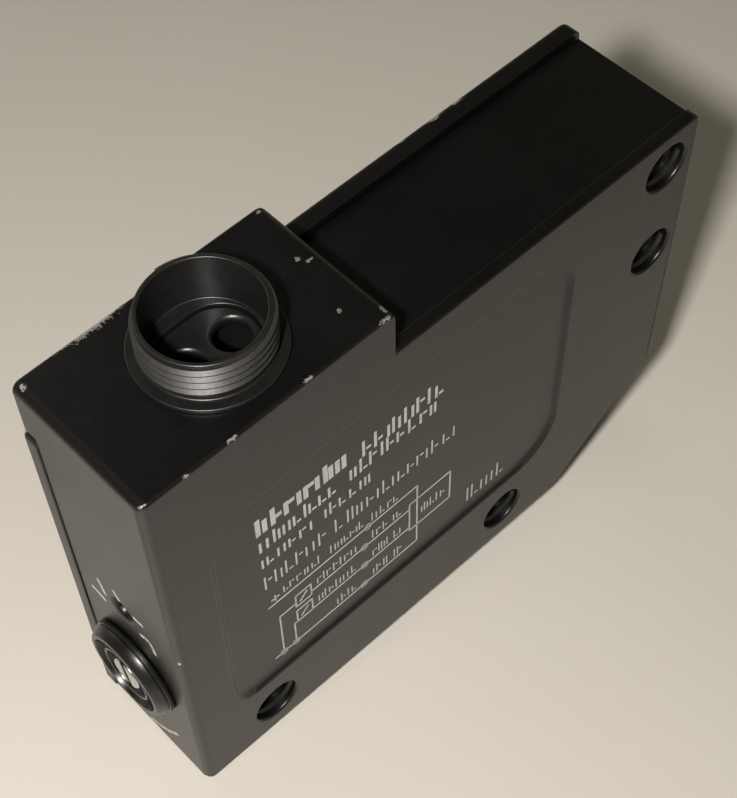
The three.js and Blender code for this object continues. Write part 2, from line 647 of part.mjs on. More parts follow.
// An insulated wire from the inner end of a pin to its pad on the front of the board.
function wire(i, padX, padZ) {
  const radius = 0.42;
  const start = pinPlace(i).addScaledVector(connectorAxis, pinFoot - 0.15);
  const lead = start.clone().addScaledVector(connectorAxis, -1.6);
  const pad = new THREE.Vector3(padX, BOARD_FRONT - radius - 0.12, padZ);
  const over = new THREE.Vector3((lead.x + padX) / 2, (lead.y + pad.y) / 2 - 1.2, (lead.z + padZ) / 2);
  const path = new THREE.CatmullRomCurve3([start, lead, over, pad]);
  const section = new THREE.Shape();
  section.absarc(0, 0, radius, 0, 2 * Math.PI);
  const geometry = new THREE.ExtrudeGeometry(section, {
    extrudePath: path, steps: 10, curveSegments: 4, bevelEnabled: false,
  });
  return solid(geometry);
}

addPiece('connector_shell', connectorShell(), 'blackMetal');
addPiece('connector_seal', ring(4.6, 0.28, 0.36, connectorOrigin, connectorAxis, 32), 'rubber');
addPiece('connector_nut', connectorNut(), 'nickel');
addPiece('connector_insulator', connectorInsulator(), 'blackPlastic');
const WIRES = [
  ['brown', 'wireBrown', 15.8, 17],
  ['white', 'wireWhite', 12.4, 13.6],
  ['blue', 'wireBlue', 9.6, 14.4],
  ['black', 'wireBlack', 12.8, 18.2],
];
WIRES.forEach(([colour, finish, padX, padZ], i) => {
  addPiece(`contact_pin_${i + 1}`, contactPin(i), 'gold');
  addPiece(`${colour}_wire`, wire(i, padX, padZ), finish);
});

export default part;
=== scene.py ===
import math
import random

import bmesh
import bpy
from mathutils import Matrix, Vector


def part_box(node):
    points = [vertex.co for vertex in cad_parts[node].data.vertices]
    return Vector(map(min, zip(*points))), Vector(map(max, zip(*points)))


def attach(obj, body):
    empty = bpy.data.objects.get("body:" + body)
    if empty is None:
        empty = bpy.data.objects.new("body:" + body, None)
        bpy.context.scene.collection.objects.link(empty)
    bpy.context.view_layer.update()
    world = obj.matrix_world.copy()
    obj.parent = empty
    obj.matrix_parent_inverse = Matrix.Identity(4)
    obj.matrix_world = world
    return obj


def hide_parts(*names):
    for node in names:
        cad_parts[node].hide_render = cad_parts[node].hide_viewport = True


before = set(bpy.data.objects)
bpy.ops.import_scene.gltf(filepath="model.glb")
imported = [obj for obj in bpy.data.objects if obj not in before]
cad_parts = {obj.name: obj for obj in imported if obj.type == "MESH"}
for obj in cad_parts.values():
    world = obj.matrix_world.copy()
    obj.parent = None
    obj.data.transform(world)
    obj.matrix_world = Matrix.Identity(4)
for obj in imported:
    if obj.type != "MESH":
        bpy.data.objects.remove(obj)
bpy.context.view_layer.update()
MM = 0.001

# ---- Camera
# It looks down on the adjuster end and along the label face, from about 15 cm above the sensor. A small
# shift frames the whole sensor without turning the camera.

camera_data = bpy.data.cameras.new("camera")
camera = bpy.data.objects.new("camera", camera_data)
bpy.context.scene.collection.objects.link(camera)
bpy.context.scene.camera = camera
camera.location = (-0.05755, -0.06181, 0.14742)
camera.rotation_euler = [math.radians(turn) for turn in (32.70, 2.57, -42.53)]
camera_data.lens = 75.2
camera_data.shift_x = 0.069
camera_data.shift_y = 0.071
camera_data.clip_start = 0.01

# ---- Housing
# A die-cast metal shell with a satin black coating. It is cast with its bosses, drilled and tapped,
# milled flat along the top and the right end, and its front has a sunk panel for the label.

housing_low, housing_high = (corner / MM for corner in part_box("housing"))
cover_low, cover_high = (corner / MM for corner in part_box("back_cover"))
LEFT, FRONT, BOTTOM = housing_low
RIGHT, BACK, BLOCK_TOP = housing_high
COVER_PROUD = cover_high.y - BACK
LOW_TOP = cover_high.z - COVER_PROUD
COVER_UNDER_BLOCK = LOW_TOP - 1
BLOCK_LENGTH = 24.7
BLOCK_RIGHT = LEFT + BLOCK_LENGTH
CHAMFER_RUN = 13
CHAMFER_RISE = 10.8
CHAMFER_FOOT = RIGHT - CHAMFER_RUN
CASE_WALL = 1.8
SHELL_BACK = cover_low.y - 0.1
FRONT_LIP = 1.2
BAND_DEPTH = 0.35
PANEL_DEPTH = 0.35
PANEL_DRAFT = 0.5
PANEL_FLOOR = FRONT + PANEL_DEPTH
MOUNTING_HOLES = [(26.4, 40.5), (26.4, 29.5), (9, 4.5), (-21, 4.5)]
MOUNTING_BORE = 2.4
COVER_SCREWS = [(-26.2, 40), (-1, 40), (26.2, 17.5), (-6, 4.2)]
BOARD_SCREWS = [(-11.5, 31), (19.6, 30.6)]
MOUNTING_BOSS = 3.2
COVER_SCREW_BOSS = 2.2
BOARD_POST = 1.9
BOARD_SEAT = 1.15
PILOT_BORE = 1.1
COLLAR_BORE = 5.1
SPINDLE_BORE = 3
LAMP_BORE = 1.12
LAMP_MOUTH = 1.55
PLUG_BORE = 4.1
PLUG_FROM_FOOT = 7.5
CORNER_ROUND, CORNER_STEPS = 0.9, 6
CHAMFER_ROUND, CHAMFER_STEPS = 1.4, 8

ALONG_Y = Vector((0, 1, 0))
UP = Vector((0, 0, 1))
OUT_OF_END = Vector((-1, 0, 0))
collar_low, collar_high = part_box("port_collar")
knob_low, knob_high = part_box("sensitivity_knob")
lens_low, lens_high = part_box("indicator_lens")
PORT = Vector((collar_low.x + collar_high.x, 0, 0)) / (2 * MM)
PORT.z = BLOCK_TOP
KNOB_PLACE = Vector((LEFT, 0, (knob_low.z + knob_high.z) / (2 * MM)))
LAMP_PLACE = Vector((LEFT, 0, (lens_low.z + lens_high.z) / (2 * MM)))
CHAMFER_ANGLE = math.atan2(CHAMFER_RISE, CHAMFER_RUN)
CHAMFER_WAY = Vector((math.cos(CHAMFER_ANGLE), 0, math.sin(CHAMFER_ANGLE)))
PLUG_AXIS = Vector((math.sin(CHAMFER_ANGLE), 0, -math.cos(CHAMFER_ANGLE)))
PLUG_PLACE = Vector((CHAMFER_FOOT, 0, BOTTOM)) + PLUG_FROM_FOOT * CHAMFER_WAY


def plate(corners, front, back):
    """A flat slab with this outline in X and Z, between two depths along Y."""
    slab = bmesh.new()
    face = slab.faces.new([slab.verts.new((x, front, z)) for x, z in corners])
    grown = bmesh.ops.extrude_face_region(slab, geom=[face])["geom"]
    moved = [part for part in grown if isinstance(part, bmesh.types.BMVert)]
    bmesh.ops.translate(slab, vec=(0, back - front, 0), verts=moved)
    bmesh.ops.recalc_face_normals(slab, faces=slab.faces)
    return slab


def round_corners(slab, corners, radius, segments, also=()):
    """Rounds the edges along Y that stand at these corners, and the other edges that are given."""
    chosen = [
        edge for edge in slab.edges
        if (edge.verts[0].co - edge.verts[1].co).cross(ALONG_Y).length < 1e-4
        and any(abs(edge.verts[0].co.x - x) + abs(edge.verts[0].co.z - z) < 1e-3 for x, z in corners)
    ]
    bmesh.ops.bevel(
        slab, geom=[*chosen, *also], offset=radius, segments=segments, profile=0.5,
        affect="EDGES", material=-1,
    )


def standing(place, axis):
    """The matrix that moves what is made round the Z axis to its place and its own axis."""
    return Matrix.Translation(place) @ UP.rotation_difference(axis).to_matrix().to_4x4()


def rod(radius, start, end, place, axis, segments=48, into=None, end_radius=None):
    """A round bar from start to end along an axis through place, added to a solid that is given."""
    solid = into or bmesh.new()
    middle = standing(place, axis) @ Matrix.Translation((0, 0, (start + end) / 2))
    bmesh.ops.create_cone(
        solid, cap_ends=True, segments=segments, radius1=radius, radius2=end_radius or radius,
        depth=end - start, matrix=middle,
    )
    return solid


def block(low, high):
    """A box between two opposite corners."""
    solid = bmesh.new()
    low, high = Vector(low), Vector(high)
    size = Matrix.Diagonal((*(high - low), 1))
    bmesh.ops.create_cube(solid, size=1, matrix=Matrix.Translation((low + high) / 2) @ size)
    return solid


def workpiece(solid, name):
    """Puts a solid, still in millimetres, on the bench as an object."""
    mesh = bpy.data.meshes.new(name)
    solid.to_mesh(mesh)
    solid.free()
    piece = bpy.data.objects.new(name, mesh)
    bpy.context.scene.collection.objects.link(piece)
    return piece


def settle(piece):
    """Makes the piece's modifiers part of its mesh."""
    bpy.context.view_layer.update()
    shaped = piece.evaluated_get(bpy.context.evaluated_depsgraph_get())
    worked = bpy.data.meshes.new_from_object(shaped)
    piece.modifiers.clear()
    spent, piece.data = piece.data, worked
    worked.name = piece.name
    bpy.data.meshes.remove(spent)


def combine(piece, tool_solid, operation):
    """Cuts a solid out of the piece, or adds it."""
    tool = workpiece(tool_solid, "tool")
    step = piece.modifiers.new(operation.lower(), "BOOLEAN")
    step.operation = operation
    step.solver = "EXACT"
    step.object = tool
    settle(piece)
    bpy.data.objects.remove(tool)


SHARP = math.radians(32)


def break_edges(piece, width, share=None, segments=3):
    """Rounds every sharp edge. share gives the part of the width that an edge at that point takes."""
    solid = bmesh.new()
    solid.from_mesh(piece.data)
    bmesh.ops.remove_doubles(solid, verts=solid.verts, dist=1e-4)
    bmesh.ops.dissolve_limit(
        solid, angle_limit=math.radians(0.5), verts=solid.verts, edges=solid.edges,
    )
    weight = solid.edges.layers.float.get("bevel_weight_edge")
    weight = weight or solid.edges.layers.float.new("bevel_weight_edge")
    for edge in solid.edges:
        sharp = len(edge.link_faces) == 2 and edge.calc_face_angle(0) > SHARP
        middle = (edge.verts[0].co + edge.verts[1].co) / 2
        edge[weight] = (share(middle, edge) if share else 1) if sharp else 0
    solid.to_mesh(piece.data)
    solid.free()
    rounding = piece.modifiers.new("broken edges", "BEVEL")
    rounding.limit_method = "WEIGHT"
    rounding.width = width
    rounding.segments = segments
    rounding.use_clamp_overlap = False
    settle(piece)


def make(piece, material, body="housing_assembly", replaces=()):
    """Turns the finished workpiece into metres and hands it to the frame."""
    mesh = piece.data
    mesh.transform(Matrix.Scale(MM, 4))
    mesh.materials.clear()
    mesh.materials.append(material)
    mesh.shade_smooth()
    mesh.set_sharp_from_angle(angle=SHARP)
    flat_faces = piece.modifiers.new("flat faces", "WEIGHTED_NORMAL")
    flat_faces.keep_sharp = True
    flat_faces.weight = 100
    settle(piece)
    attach(piece, body)
    if replaces:
        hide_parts(*replaces)
    return piece


def socket_group(name, inputs, outputs):
    """An empty node group with these sockets, its two end nodes, and a shorthand to link in it."""
    group = bpy.data.node_groups.new(name, "ShaderNodeTree")
    for socket, kind, value in inputs:
        made = group.interface.new_socket(socket, in_out="INPUT", socket_type=kind)
        made.default_value = value
    for socket, kind in outputs:
        group.interface.new_socket(socket, in_out="OUTPUT", socket_type=kind)
    return group, group.nodes.new("NodeGroupInput"), group.nodes.new("NodeGroupOutput")


def math_node(tree, operation, first, second, clamp=False):
    """The result of a sum on two numbers or sockets."""
    node = tree.nodes.new("ShaderNodeMath")
    node.operation = operation
    node.use_clamp = clamp
    for socket, value in zip(node.inputs, (first, second)):
        if isinstance(value, (int, float)):
            socket.default_value = value
        else:
            tree.links.new(value, socket)
    return node.outputs[0]


def noise(tree, scale, detail, roughness=0.5):
    """Soft random patches on the object's own coordinates."""
    coordinates = tree.nodes.new("ShaderNodeTexCoord")
    node = tree.nodes.new("ShaderNodeTexNoise")
    node.inputs["Detail"].default_value = detail
    node.inputs["Roughness"].default_value = roughness
    if isinstance(scale, (int, float)):
        node.inputs["Scale"].default_value = scale
    else:
        tree.links.new(scale, node.inputs["Scale"])
    tree.links.new(coordinates.outputs["Object"], node.inputs["Vector"])
    return node.outputs["Fac"]


def mixed(tree, share, first, second):
    """A colour between two colours."""
    node = tree.nodes.new("ShaderNodeMix")
    node.data_type = "RGBA"
    for socket, value in ((node.inputs[0], share), (node.inputs[6], first), (node.inputs[7], second)):
        if isinstance(value, (int, float)):
            socket.default_value = value
        elif isinstance(value, tuple):
            socket.default_value = (*value, 1)
        else:
            tree.links.new(value, socket)
    return node.outputs[2]


# Grain: a fine relief with patches that are lighter and duller, as on coated, moulded or cast pieces.
grain_group, grain_in, grain_out = socket_group(
    "grain",
    [("Colour", "NodeSocketColor", (0.5, 0.5, 0.5, 1)), ("Lighter", "NodeSocketColor", (0.5, 0.5, 0.5, 1)),
     ("Roughness", "NodeSocketFloat", 0.4), ("Unevenness", "NodeSocketFloat", 0.1),
     ("Grain Scale", "NodeSocketFloat", 5000), ("Patch Scale", "NodeSocketFloat", 120)],
    [("Colour", "NodeSocketColor"), ("Roughness", "NodeSocketFloat"), ("Height", "NodeSocketFloat")],
)
fine = noise(grain_group, grain_in.outputs["Grain Scale"], 2)
patches = noise(grain_group, grain_in.outputs["Patch Scale"], 5, 0.6)
above_middle = math_node(grain_group, "SUBTRACT", patches, 0.42)
patch_share = math_node(grain_group, "MULTIPLY", above_middle, 3, clamp=True)
patch_share = math_node(grain_group, "MULTIPLY", patch_share, math_node(grain_group, "ADD", fine, 0.3))
grain_group.links.new(
    mixed(grain_group, patch_share, grain_in.outputs["Colour"], grain_in.outputs["Lighter"]),
    grain_out.inputs["Colour"],
)
uneven = math_node(grain_group, "SUBTRACT", math_node(grain_group, "ADD", patches, fine), 1)
uneven = math_node(grain_group, "MULTIPLY", uneven, grain_in.outputs["Unevenness"])
grain_group.links.new(
    math_node(grain_group, "ADD", grain_in.outputs["Roughness"], uneven, clamp=True),
    grain_out.inputs["Roughness"],
)
grain_group.links.new(fine, grain_out.inputs["Height"])

# Bare spot: a ragged place where the coating has come off, round a point and longer one way than another.
BARE_METAL = (0.56, 0.54, 0.51)
BARE_ROUGHNESS = 0.42
BARE_METALLIC = 0.85
SPOT_NOISE_SCALE = 3600
SPOT_RAGGEDNESS = 2.4
SPOT_SPREAD = 0.7
SPOT_LEVEL = 1.72
SPOT_SHARPNESS = 9
spot_group, spot_in, spot_out = socket_group(
    "bare_spot",
    [("Place", "NodeSocketVector", (0, 0, 0)), ("Reach", "NodeSocketVector", (1, 1, 1))],
    [("Bare", "NodeSocketFloat")],
)
spot_coordinates = spot_group.nodes.new("ShaderNodeTexCoord")
away = spot_group.nodes.new("ShaderNodeVectorMath")
away.operation = "SUBTRACT"
spot_group.links.new(spot_coordinates.outputs["Object"], away.inputs[0])
spot_group.links.new(spot_in.outputs["Place"], away.inputs[1])
share_of_reach = spot_group.nodes.new("ShaderNodeVectorMath")
share_of_reach.operation = "DIVIDE"
spot_group.links.new(away.outputs[0], share_of_reach.inputs[0])
spot_group.links.new(spot_in.outputs["Reach"], share_of_reach.inputs[1])
distance = spot_group.nodes.new("ShaderNodeVectorMath")
distance.operation = "LENGTH"
spot_group.links.new(share_of_reach.outputs[0], distance.inputs[0])
ragged = math_node(spot_group, "MULTIPLY", noise(spot_group, SPOT_NOISE_SCALE, 5, 0.75), SPOT_RAGGEDNESS)
spread = math_node(spot_group, "MULTIPLY", distance.outputs["Value"], SPOT_SPREAD)
within = math_node(spot_group, "SUBTRACT", SPOT_LEVEL, math_node(spot_group, "ADD", spread, ragged))
spot_group.links.new(
    math_node(spot_group, "MULTIPLY", within, SPOT_SHARPNESS, clamp=True), spot_out.inputs["Bare"],
)


def place_group(material, group, **values):
    """Puts a node group in a material, with these values on its sockets."""
    node = material.node_tree.nodes.new("ShaderNodeGroup")
    node.node_tree = group
    for socket, value in values.items():
        node.inputs[socket.replace("_", " ")].default_value = value
    return node


GRAIN_DEPTH = 0.00003


def grained(name, colour, lighter, roughness, uneven, grain, patch, relief, metallic=0, spots=()):
    """A material with the grain group, and bare metal where spots says so, as (place, reach) in mm."""
    material = bpy.data.materials.new(name)
    material.use_nodes = True
    tree = material.node_tree
    shader = tree.nodes["Principled BSDF"]
    surface = place_group(
        material, grain_group, Colour=(*colour, 1), Lighter=(*lighter, 1), Roughness=roughness,
        Unevenness=uneven, Grain_Scale=grain, Patch_Scale=patch,
    )
    colour_out, roughness_out = surface.outputs["Colour"], surface.outputs["Roughness"]
    shader.inputs["Metallic"].default_value = metallic
    bare = None
    for place, reach in spots:
        in_metres = {"Place": [value * MM for value in place], "Reach": [value * MM for value in reach]}
        spot = place_group(material, spot_group, **in_metres)
        bare = math_node(tree, "MAXIMUM", bare, spot.outputs["Bare"]) if bare else spot.outputs["Bare"]
    if bare:
        colour_out = mixed(tree, bare, colour_out, BARE_METAL)
        bare_roughness = math_node(tree, "MULTIPLY", bare, BARE_ROUGHNESS)
        roughness_out = math_node(tree, "MAXIMUM", roughness_out, bare_roughness)
        tree.links.new(math_node(tree, "MULTIPLY", bare, BARE_METALLIC), shader.inputs["Metallic"])
    tree.links.new(colour_out, shader.inputs["Base Color"])
    tree.links.new(roughness_out, shader.inputs["Roughness"])
    bump = tree.nodes.new("ShaderNodeBump")
    bump.inputs["Strength"].default_value = relief
    bump.inputs["Distance"].default_value = GRAIN_DEPTH
    tree.links.new(surface.outputs["Height"], bump.inputs["Height"])
    tree.links.new(bump.outputs["Normal"], shader.inputs["Normal"])
    return material


block_edge = BLOCK_TOP - 0.1
housing_wear = [
    ((LEFT + 7.5, BACK - 0.1, block_edge), (3.4, 0.55, 0.4)),
    ((LEFT + 0.6, BACK - 0.9, block_edge), (0.35, 0.35, 0.3)),
    ((LEFT + 0.3, FRONT + 0.3, block_edge), (0.3, 0.3, 0.4)),
    ((BLOCK_RIGHT - 0.9, BACK - 0.5, block_edge), (0.3, 0.3, 0.3)),
    ((BLOCK_RIGHT - 0.5, FRONT + 0.9, block_edge), (0.25, 0.5, 0.25)),
    ((BLOCK_RIGHT - 1.1, FRONT + 0.15, block_edge), (0.6, 0.2, 0.25)),
    ((BLOCK_RIGHT - 1.9, 1.4, BLOCK_TOP), (0.3, 0.25, 0.2)),
    ((BLOCK_RIGHT - 1.3, 0.7, BLOCK_TOP), (0.35, 0.2, 0.2)),
    ((BLOCK_RIGHT - 3.0, -4.4, BLOCK_TOP), (0.2, 0.25, 0.2)),
    ((LEFT + 15.9, FRONT + 0.15, block_edge), (0.5, 0.2, 0.2)),
    ((LEFT + 8.6, FRONT + 0.1, block_edge), (0.5, 0.18, 0.2)),
    ((LEFT + 4.3, FRONT + 0.1, block_edge - 0.1), (0.35, 0.18, 0.2)),
    ((LEFT + 0.2, FRONT + 0.3, 24.7), (0.22, 0.22, 0.3)),
]
black_coating = grained(
    "black coating on cast metal", (0.0018, 0.0017, 0.0016), (0.004, 0.0038, 0.0035), 0.36,
    uneven=0.10, grain=4200, patch=90, relief=0.35, spots=housing_wear,
)


def casting(corners, back, small_corners, large_corners=()):
    """A stretch of the casting from the front face to a depth, with its outer corners rounded."""
    solid = plate(corners, FRONT, back)
    front_left = [
        edge for edge in solid.edges
        if all(abs(vert.co.x - LEFT) + abs(vert.co.y - FRONT) < 1e-3 for vert in edge.verts)
    ]
    round_corners(solid, small_corners, CORNER_ROUND, CORNER_STEPS, also=front_left)
    round_corners(solid, large_corners, CHAMFER_ROUND, CHAMFER_STEPS)
    return solid


chamfer_ends = [(CHAMFER_FOOT, BOTTOM), (RIGHT, BOTTOM + CHAMFER_RISE)]
low_part = [(LEFT, BOTTOM), *chamfer_ends, (RIGHT, LOW_TOP), (LEFT, LOW_TOP)]
low_casting = casting(low_part, SHELL_BACK, [low_part[0], low_part[3]], chamfer_ends)
housing = workpiece(low_casting, "housing_shell")
band_front = FRONT + FRONT_LIP
band_floor = LOW_TOP - BAND_DEPTH
top_band = block((BLOCK_RIGHT - 1, band_front, band_floor), (RIGHT + 1, BACK + 1, BLOCK_TOP))
combine(housing, top_band, "DIFFERENCE")
end_band_foot = (RIGHT - BAND_DEPTH, band_front, CHAMFER_RISE + 3)
end_band = block(end_band_foot, (RIGHT + 1, BACK + 1, LOW_TOP + 1))
combine(housing, end_band, "DIFFERENCE")
block_foot = COVER_UNDER_BLOCK + 0.1
raised_block = [
    (LEFT, block_foot), (BLOCK_RIGHT, block_foot), (BLOCK_RIGHT, BLOCK_TOP), (LEFT, BLOCK_TOP),
]
combine(housing, casting(raised_block, BACK, raised_block[2:]), "UNION")
hollow = plate(
    [(LEFT + CASE_WALL, CASE_WALL), (CHAMFER_FOOT - 0.6, CASE_WALL), (RIGHT - CASE_WALL, CHAMFER_RISE + 0.9),
     (RIGHT - CASE_WALL, LOW_TOP - CASE_WALL), (LEFT + CASE_WALL, LOW_TOP - CASE_WALL)],
    FRONT + CASE_WALL, SHELL_BACK + 1,
)
combine(housing, hollow, "DIFFERENCE")
bosses = bmesh.new()
for x, z in MOUNTING_HOLES:
    rod(MOUNTING_BOSS, FRONT + 1, SHELL_BACK - 0.05, (x, 0, z), ALONG_Y, into=bosses)
for x, z in COVER_SCREWS:
    rod(COVER_SCREW_BOSS, FRONT + 1, SHELL_BACK - 0.05, (x, 0, z), ALONG_Y, 24, into=bosses)
combine(housing, bosses, "UNION")

bores = bmesh.new()
for x, z in MOUNTING_HOLES:
    rod(MOUNTING_BORE, FRONT - 1, BACK + 1, (x, 0, z), ALONG_Y, 56, into=bores)
for x, z in COVER_SCREWS:
    rod(PILOT_BORE, 0, BACK + 1, (x, 0, z), ALONG_Y, 24, into=bores)
rod(COLLAR_BORE, -12, 1, PORT, UP, 64, into=bores)
rod(SPINDLE_BORE, -4, 1, KNOB_PLACE, OUT_OF_END, into=bores)
rod(LAMP_BORE, -4, 1, LAMP_PLACE, OUT_OF_END, 40, into=bores)
rod(PLUG_BORE, -6, 2, PLUG_PLACE, PLUG_AXIS, 56, into=bores)
combine(housing, bores, "DIFFERENCE")
lamp_mouth = rod(LAMP_BORE, -0.35, 0.1, LAMP_PLACE, OUT_OF_END, 40, end_radius=LAMP_MOUTH)
combine(housing, lamp_mouth, "DIFFERENCE")

posts = bmesh.new()
for x, z in BOARD_SCREWS:
    rod(BOARD_POST, FRONT + 1, BOARD_SEAT, (x, 0, z), ALONG_Y, 24, into=posts)
combine(housing, posts, "UNION")
pilots = bmesh.new()
for x, z in BOARD_SCREWS:
    rod(PILOT_BORE, -3, BACK, (x, 0, z), ALONG_Y, 24, into=pilots)
combine(housing, pilots, "DIFFERENCE")

panel_left, panel_right, panel_foot, panel_head = -24.8, 15.2, 9.9, 39.3
panel_corners = [
    (panel_left, panel_foot), (panel_right, panel_foot), (panel_right, panel_head), (panel_left, panel_head),
]
panel = plate(panel_corners, FRONT - 1, PANEL_FLOOR)
round_corners(panel, panel_corners[:1], 2.5, 10)
round_corners(panel, panel_corners[1:], 5, 14)
panel_width, panel_height = panel_right - panel_left, panel_head - panel_foot
panel_middle = Vector((panel_left + panel_width / 2, 0, panel_foot + panel_height / 2))
flare = 2 * (1 + PANEL_DEPTH) * PANEL_DRAFT / PANEL_DEPTH
bmesh.ops.scale(
    panel, vec=(1 + flare / panel_width, 1, 1 + flare / panel_height),
    space=Matrix.Translation(-panel_middle), verts=[vert for vert in panel.verts if vert.co.y < FRONT],
)
combine(housing, panel, "DIFFERENCE")


def housing_edge(middle, edge):
    """The share of the full rounding that the housing's edge takes at this point."""
    inside = (
        LEFT + 1 < middle.x < RIGHT - 1 and 1 < middle.z < LOW_TOP - 1.5
        and FRONT + 0.9 < middle.y < SHELL_BACK + 0.2
    )
    if inside or middle.y > SHELL_BACK - 0.2 and middle.z < COVER_UNDER_BLOCK:
        return 0.2
    on_front = middle.y < PANEL_FLOOR + 0.01
    within_panel = (
        panel_left - 1 < middle.x < panel_right + 1 and panel_foot - 1 < middle.z < panel_head + 1
    )
    if on_front and within_panel:
        return 0.55
    on_band = middle.x > BLOCK_RIGHT and middle.y > band_front - 0.01
    return 0.5 if on_band else 1


break_edges(housing, 0.3, housing_edge)
make(housing, black_coating, replaces=["housing"])

# ---- Threads of the mounting holes
# Each through hole is tapped from the front, so a fine helix runs down its wall. The tap has cut through
# to the metal, and screws have worn what coating there is.


def ridge(wall, crest, pitch, start, turns, steps=40, inward=False):
    """The ridge of a screw thread round the Z axis, rooted in a wall of this radius."""
    solid = bmesh.new()
    root = wall + 0.05 if inward else wall - 0.05
    profile = [
        solid.verts.new((radius, 0, start + rise * pitch))
        for radius, rise in ((root, -0.44), (crest, -0.07), (crest, 0.07), (root, 0.44))
    ]
    face = solid.faces.new(profile)
    bmesh.ops.spin(
        solid, geom=[*profile, *face.edges, face], cent=(0, 0, 0), axis=(0, 0, 1),
        dvec=(0, 0, pitch / steps), angle=2 * math.pi * turns, steps=round(steps * turns), use_merge=False,
    )
    return solid


def stand(solid, place, axis):
    """Moves a solid from the Z axis to its place and its own axis."""
    bmesh.ops.transform(solid, matrix=standing(place, axis), verts=solid.verts)
    return solid


hole_threads = bmesh.new()
for x, z in MOUNTING_HOLES:
    one = ridge(MOUNTING_BORE, MOUNTING_BORE - 0.28, 0.8, 0.9, 12, inward=True)
    stand(one, (x, FRONT, z), ALONG_Y)
    loose = bpy.data.meshes.new("one thread")
    one.to_mesh(loose)
    one.free()
    hole_threads.from_mesh(loose)
    bpy.data.meshes.remove(loose)
bmesh.ops.recalc_face_normals(hole_threads, faces=hole_threads.faces)
thread_metal = grained(
    "worn coating of the tapped holes", (0.02, 0.02, 0.02), (0.06, 0.06, 0.06), 0.3, metallic=0.6,
    uneven=0.15, grain=3000, patch=300, relief=0.1,
)
make(workpiece(hole_threads, "mounting_hole_threads"), thread_metal)

# ---- Print on the label panel
# White ink, screen-printed on the coating: rows of plain strokes and a wiring symbol with four
# lines, two switching boxes and the output stage. It has no letters.

INK_DEPTH = 0.02
ink = grained(
    "white screen-printing ink", (0.55, 0.55, 0.52), (0.38, 0.38, 0.36), 0.55,
    uneven=0.1, grain=6000, patch=900, relief=0.1,
)
label = bmesh.new()


def stroke(x0, z0, x1, z1, width):
    """A straight line of ink between two points on the label face."""
    start, end = Vector((x0, 0, z0)), Vector((x1, 0, z1))
    way = end - start
    turn = Matrix.Rotation(-math.atan2(way.z, way.x), 4, "Y")
    size = Matrix.Diagonal((way.length + width * 0.6, INK_DEPTH, width, 1))
    middle = (start + end) / 2 + Vector((0, PANEL_FLOOR - INK_DEPTH / 2, 0))
    bmesh.ops.create_cube(label, size=1, matrix=Matrix.Translation(middle) @ turn @ size)


def row_of_strokes(x0, x1, foot, height, weight, gaps, seed):
    """A row of plain ticks and dashes, as dense as small print. gaps are the blank shares of the row."""
    shape = random.Random(seed)
    x = x0
    while x < x1 - weight:
        share = (x - x0) / (x1 - x0)
        if any(start < share < end for start, end in gaps):
            x += height * 0.2
            continue
        tall = height if shape.random() < 0.35 else height * 0.72
        stroke(x, foot, x, foot + tall, weight)
        if shape.random() < 0.45:
            level = foot + height * shape.choice((0.1, 0.36, 0.62))
            x += height * 0.2
            stroke(x, level, x + height * 0.16, level, weight)
            x += height * 0.12
        x += height * shape.choice((0.28, 0.34, 0.42))


TEXT_LEFT = -20.2
for row in (
    (TEXT_LEFT, -9.8, 34.0, 2.1, 0.5, [], 3), (-8.8, 0, 33.3, 2.0, 0.3, [], 4),
    (TEXT_LEFT, 0, 31.3, 1.8, 0.26, [(0.43, 0.48)], 5), (TEXT_LEFT, -7.6, 28.7, 1.6, 0.22, [(0.46, 0.54)], 6),
    (TEXT_LEFT, 2.2, 25.1, 1.9, 0.18, [(0.29, 0.35)], 7), (4.1, 9.7, 11.5, 2.1, 0.18, [], 8),
):
    row_of_strokes(*row)

line = 0.17
SMALL, FINE = 1.2, 0.13
rows = [21.6, 18.6, 15.4, 12.0]
row_of_strokes(-18.4, -9.3, rows[0] + 0.75, SMALL, FINE, [(0.48, 0.58)], 9)
for row_left, row_right, height, seed in (
    (-14.7, -9.8, rows[1], 10), (-14.7, -9.8, rows[2], 11), (-12.6, -10.2, rows[3], 12),
):
    row_of_strokes(row_left, row_right, height + 0.5, SMALL, FINE, [], seed)
for number, height in enumerate(rows):
    row_of_strokes(-8.1, -4.6, height + 0.5, SMALL, FINE, [(0.55, 0.7)], 13 + number)
row_of_strokes(-2.0, 0.9, 16.4, 1.3, FINE, [], 20)

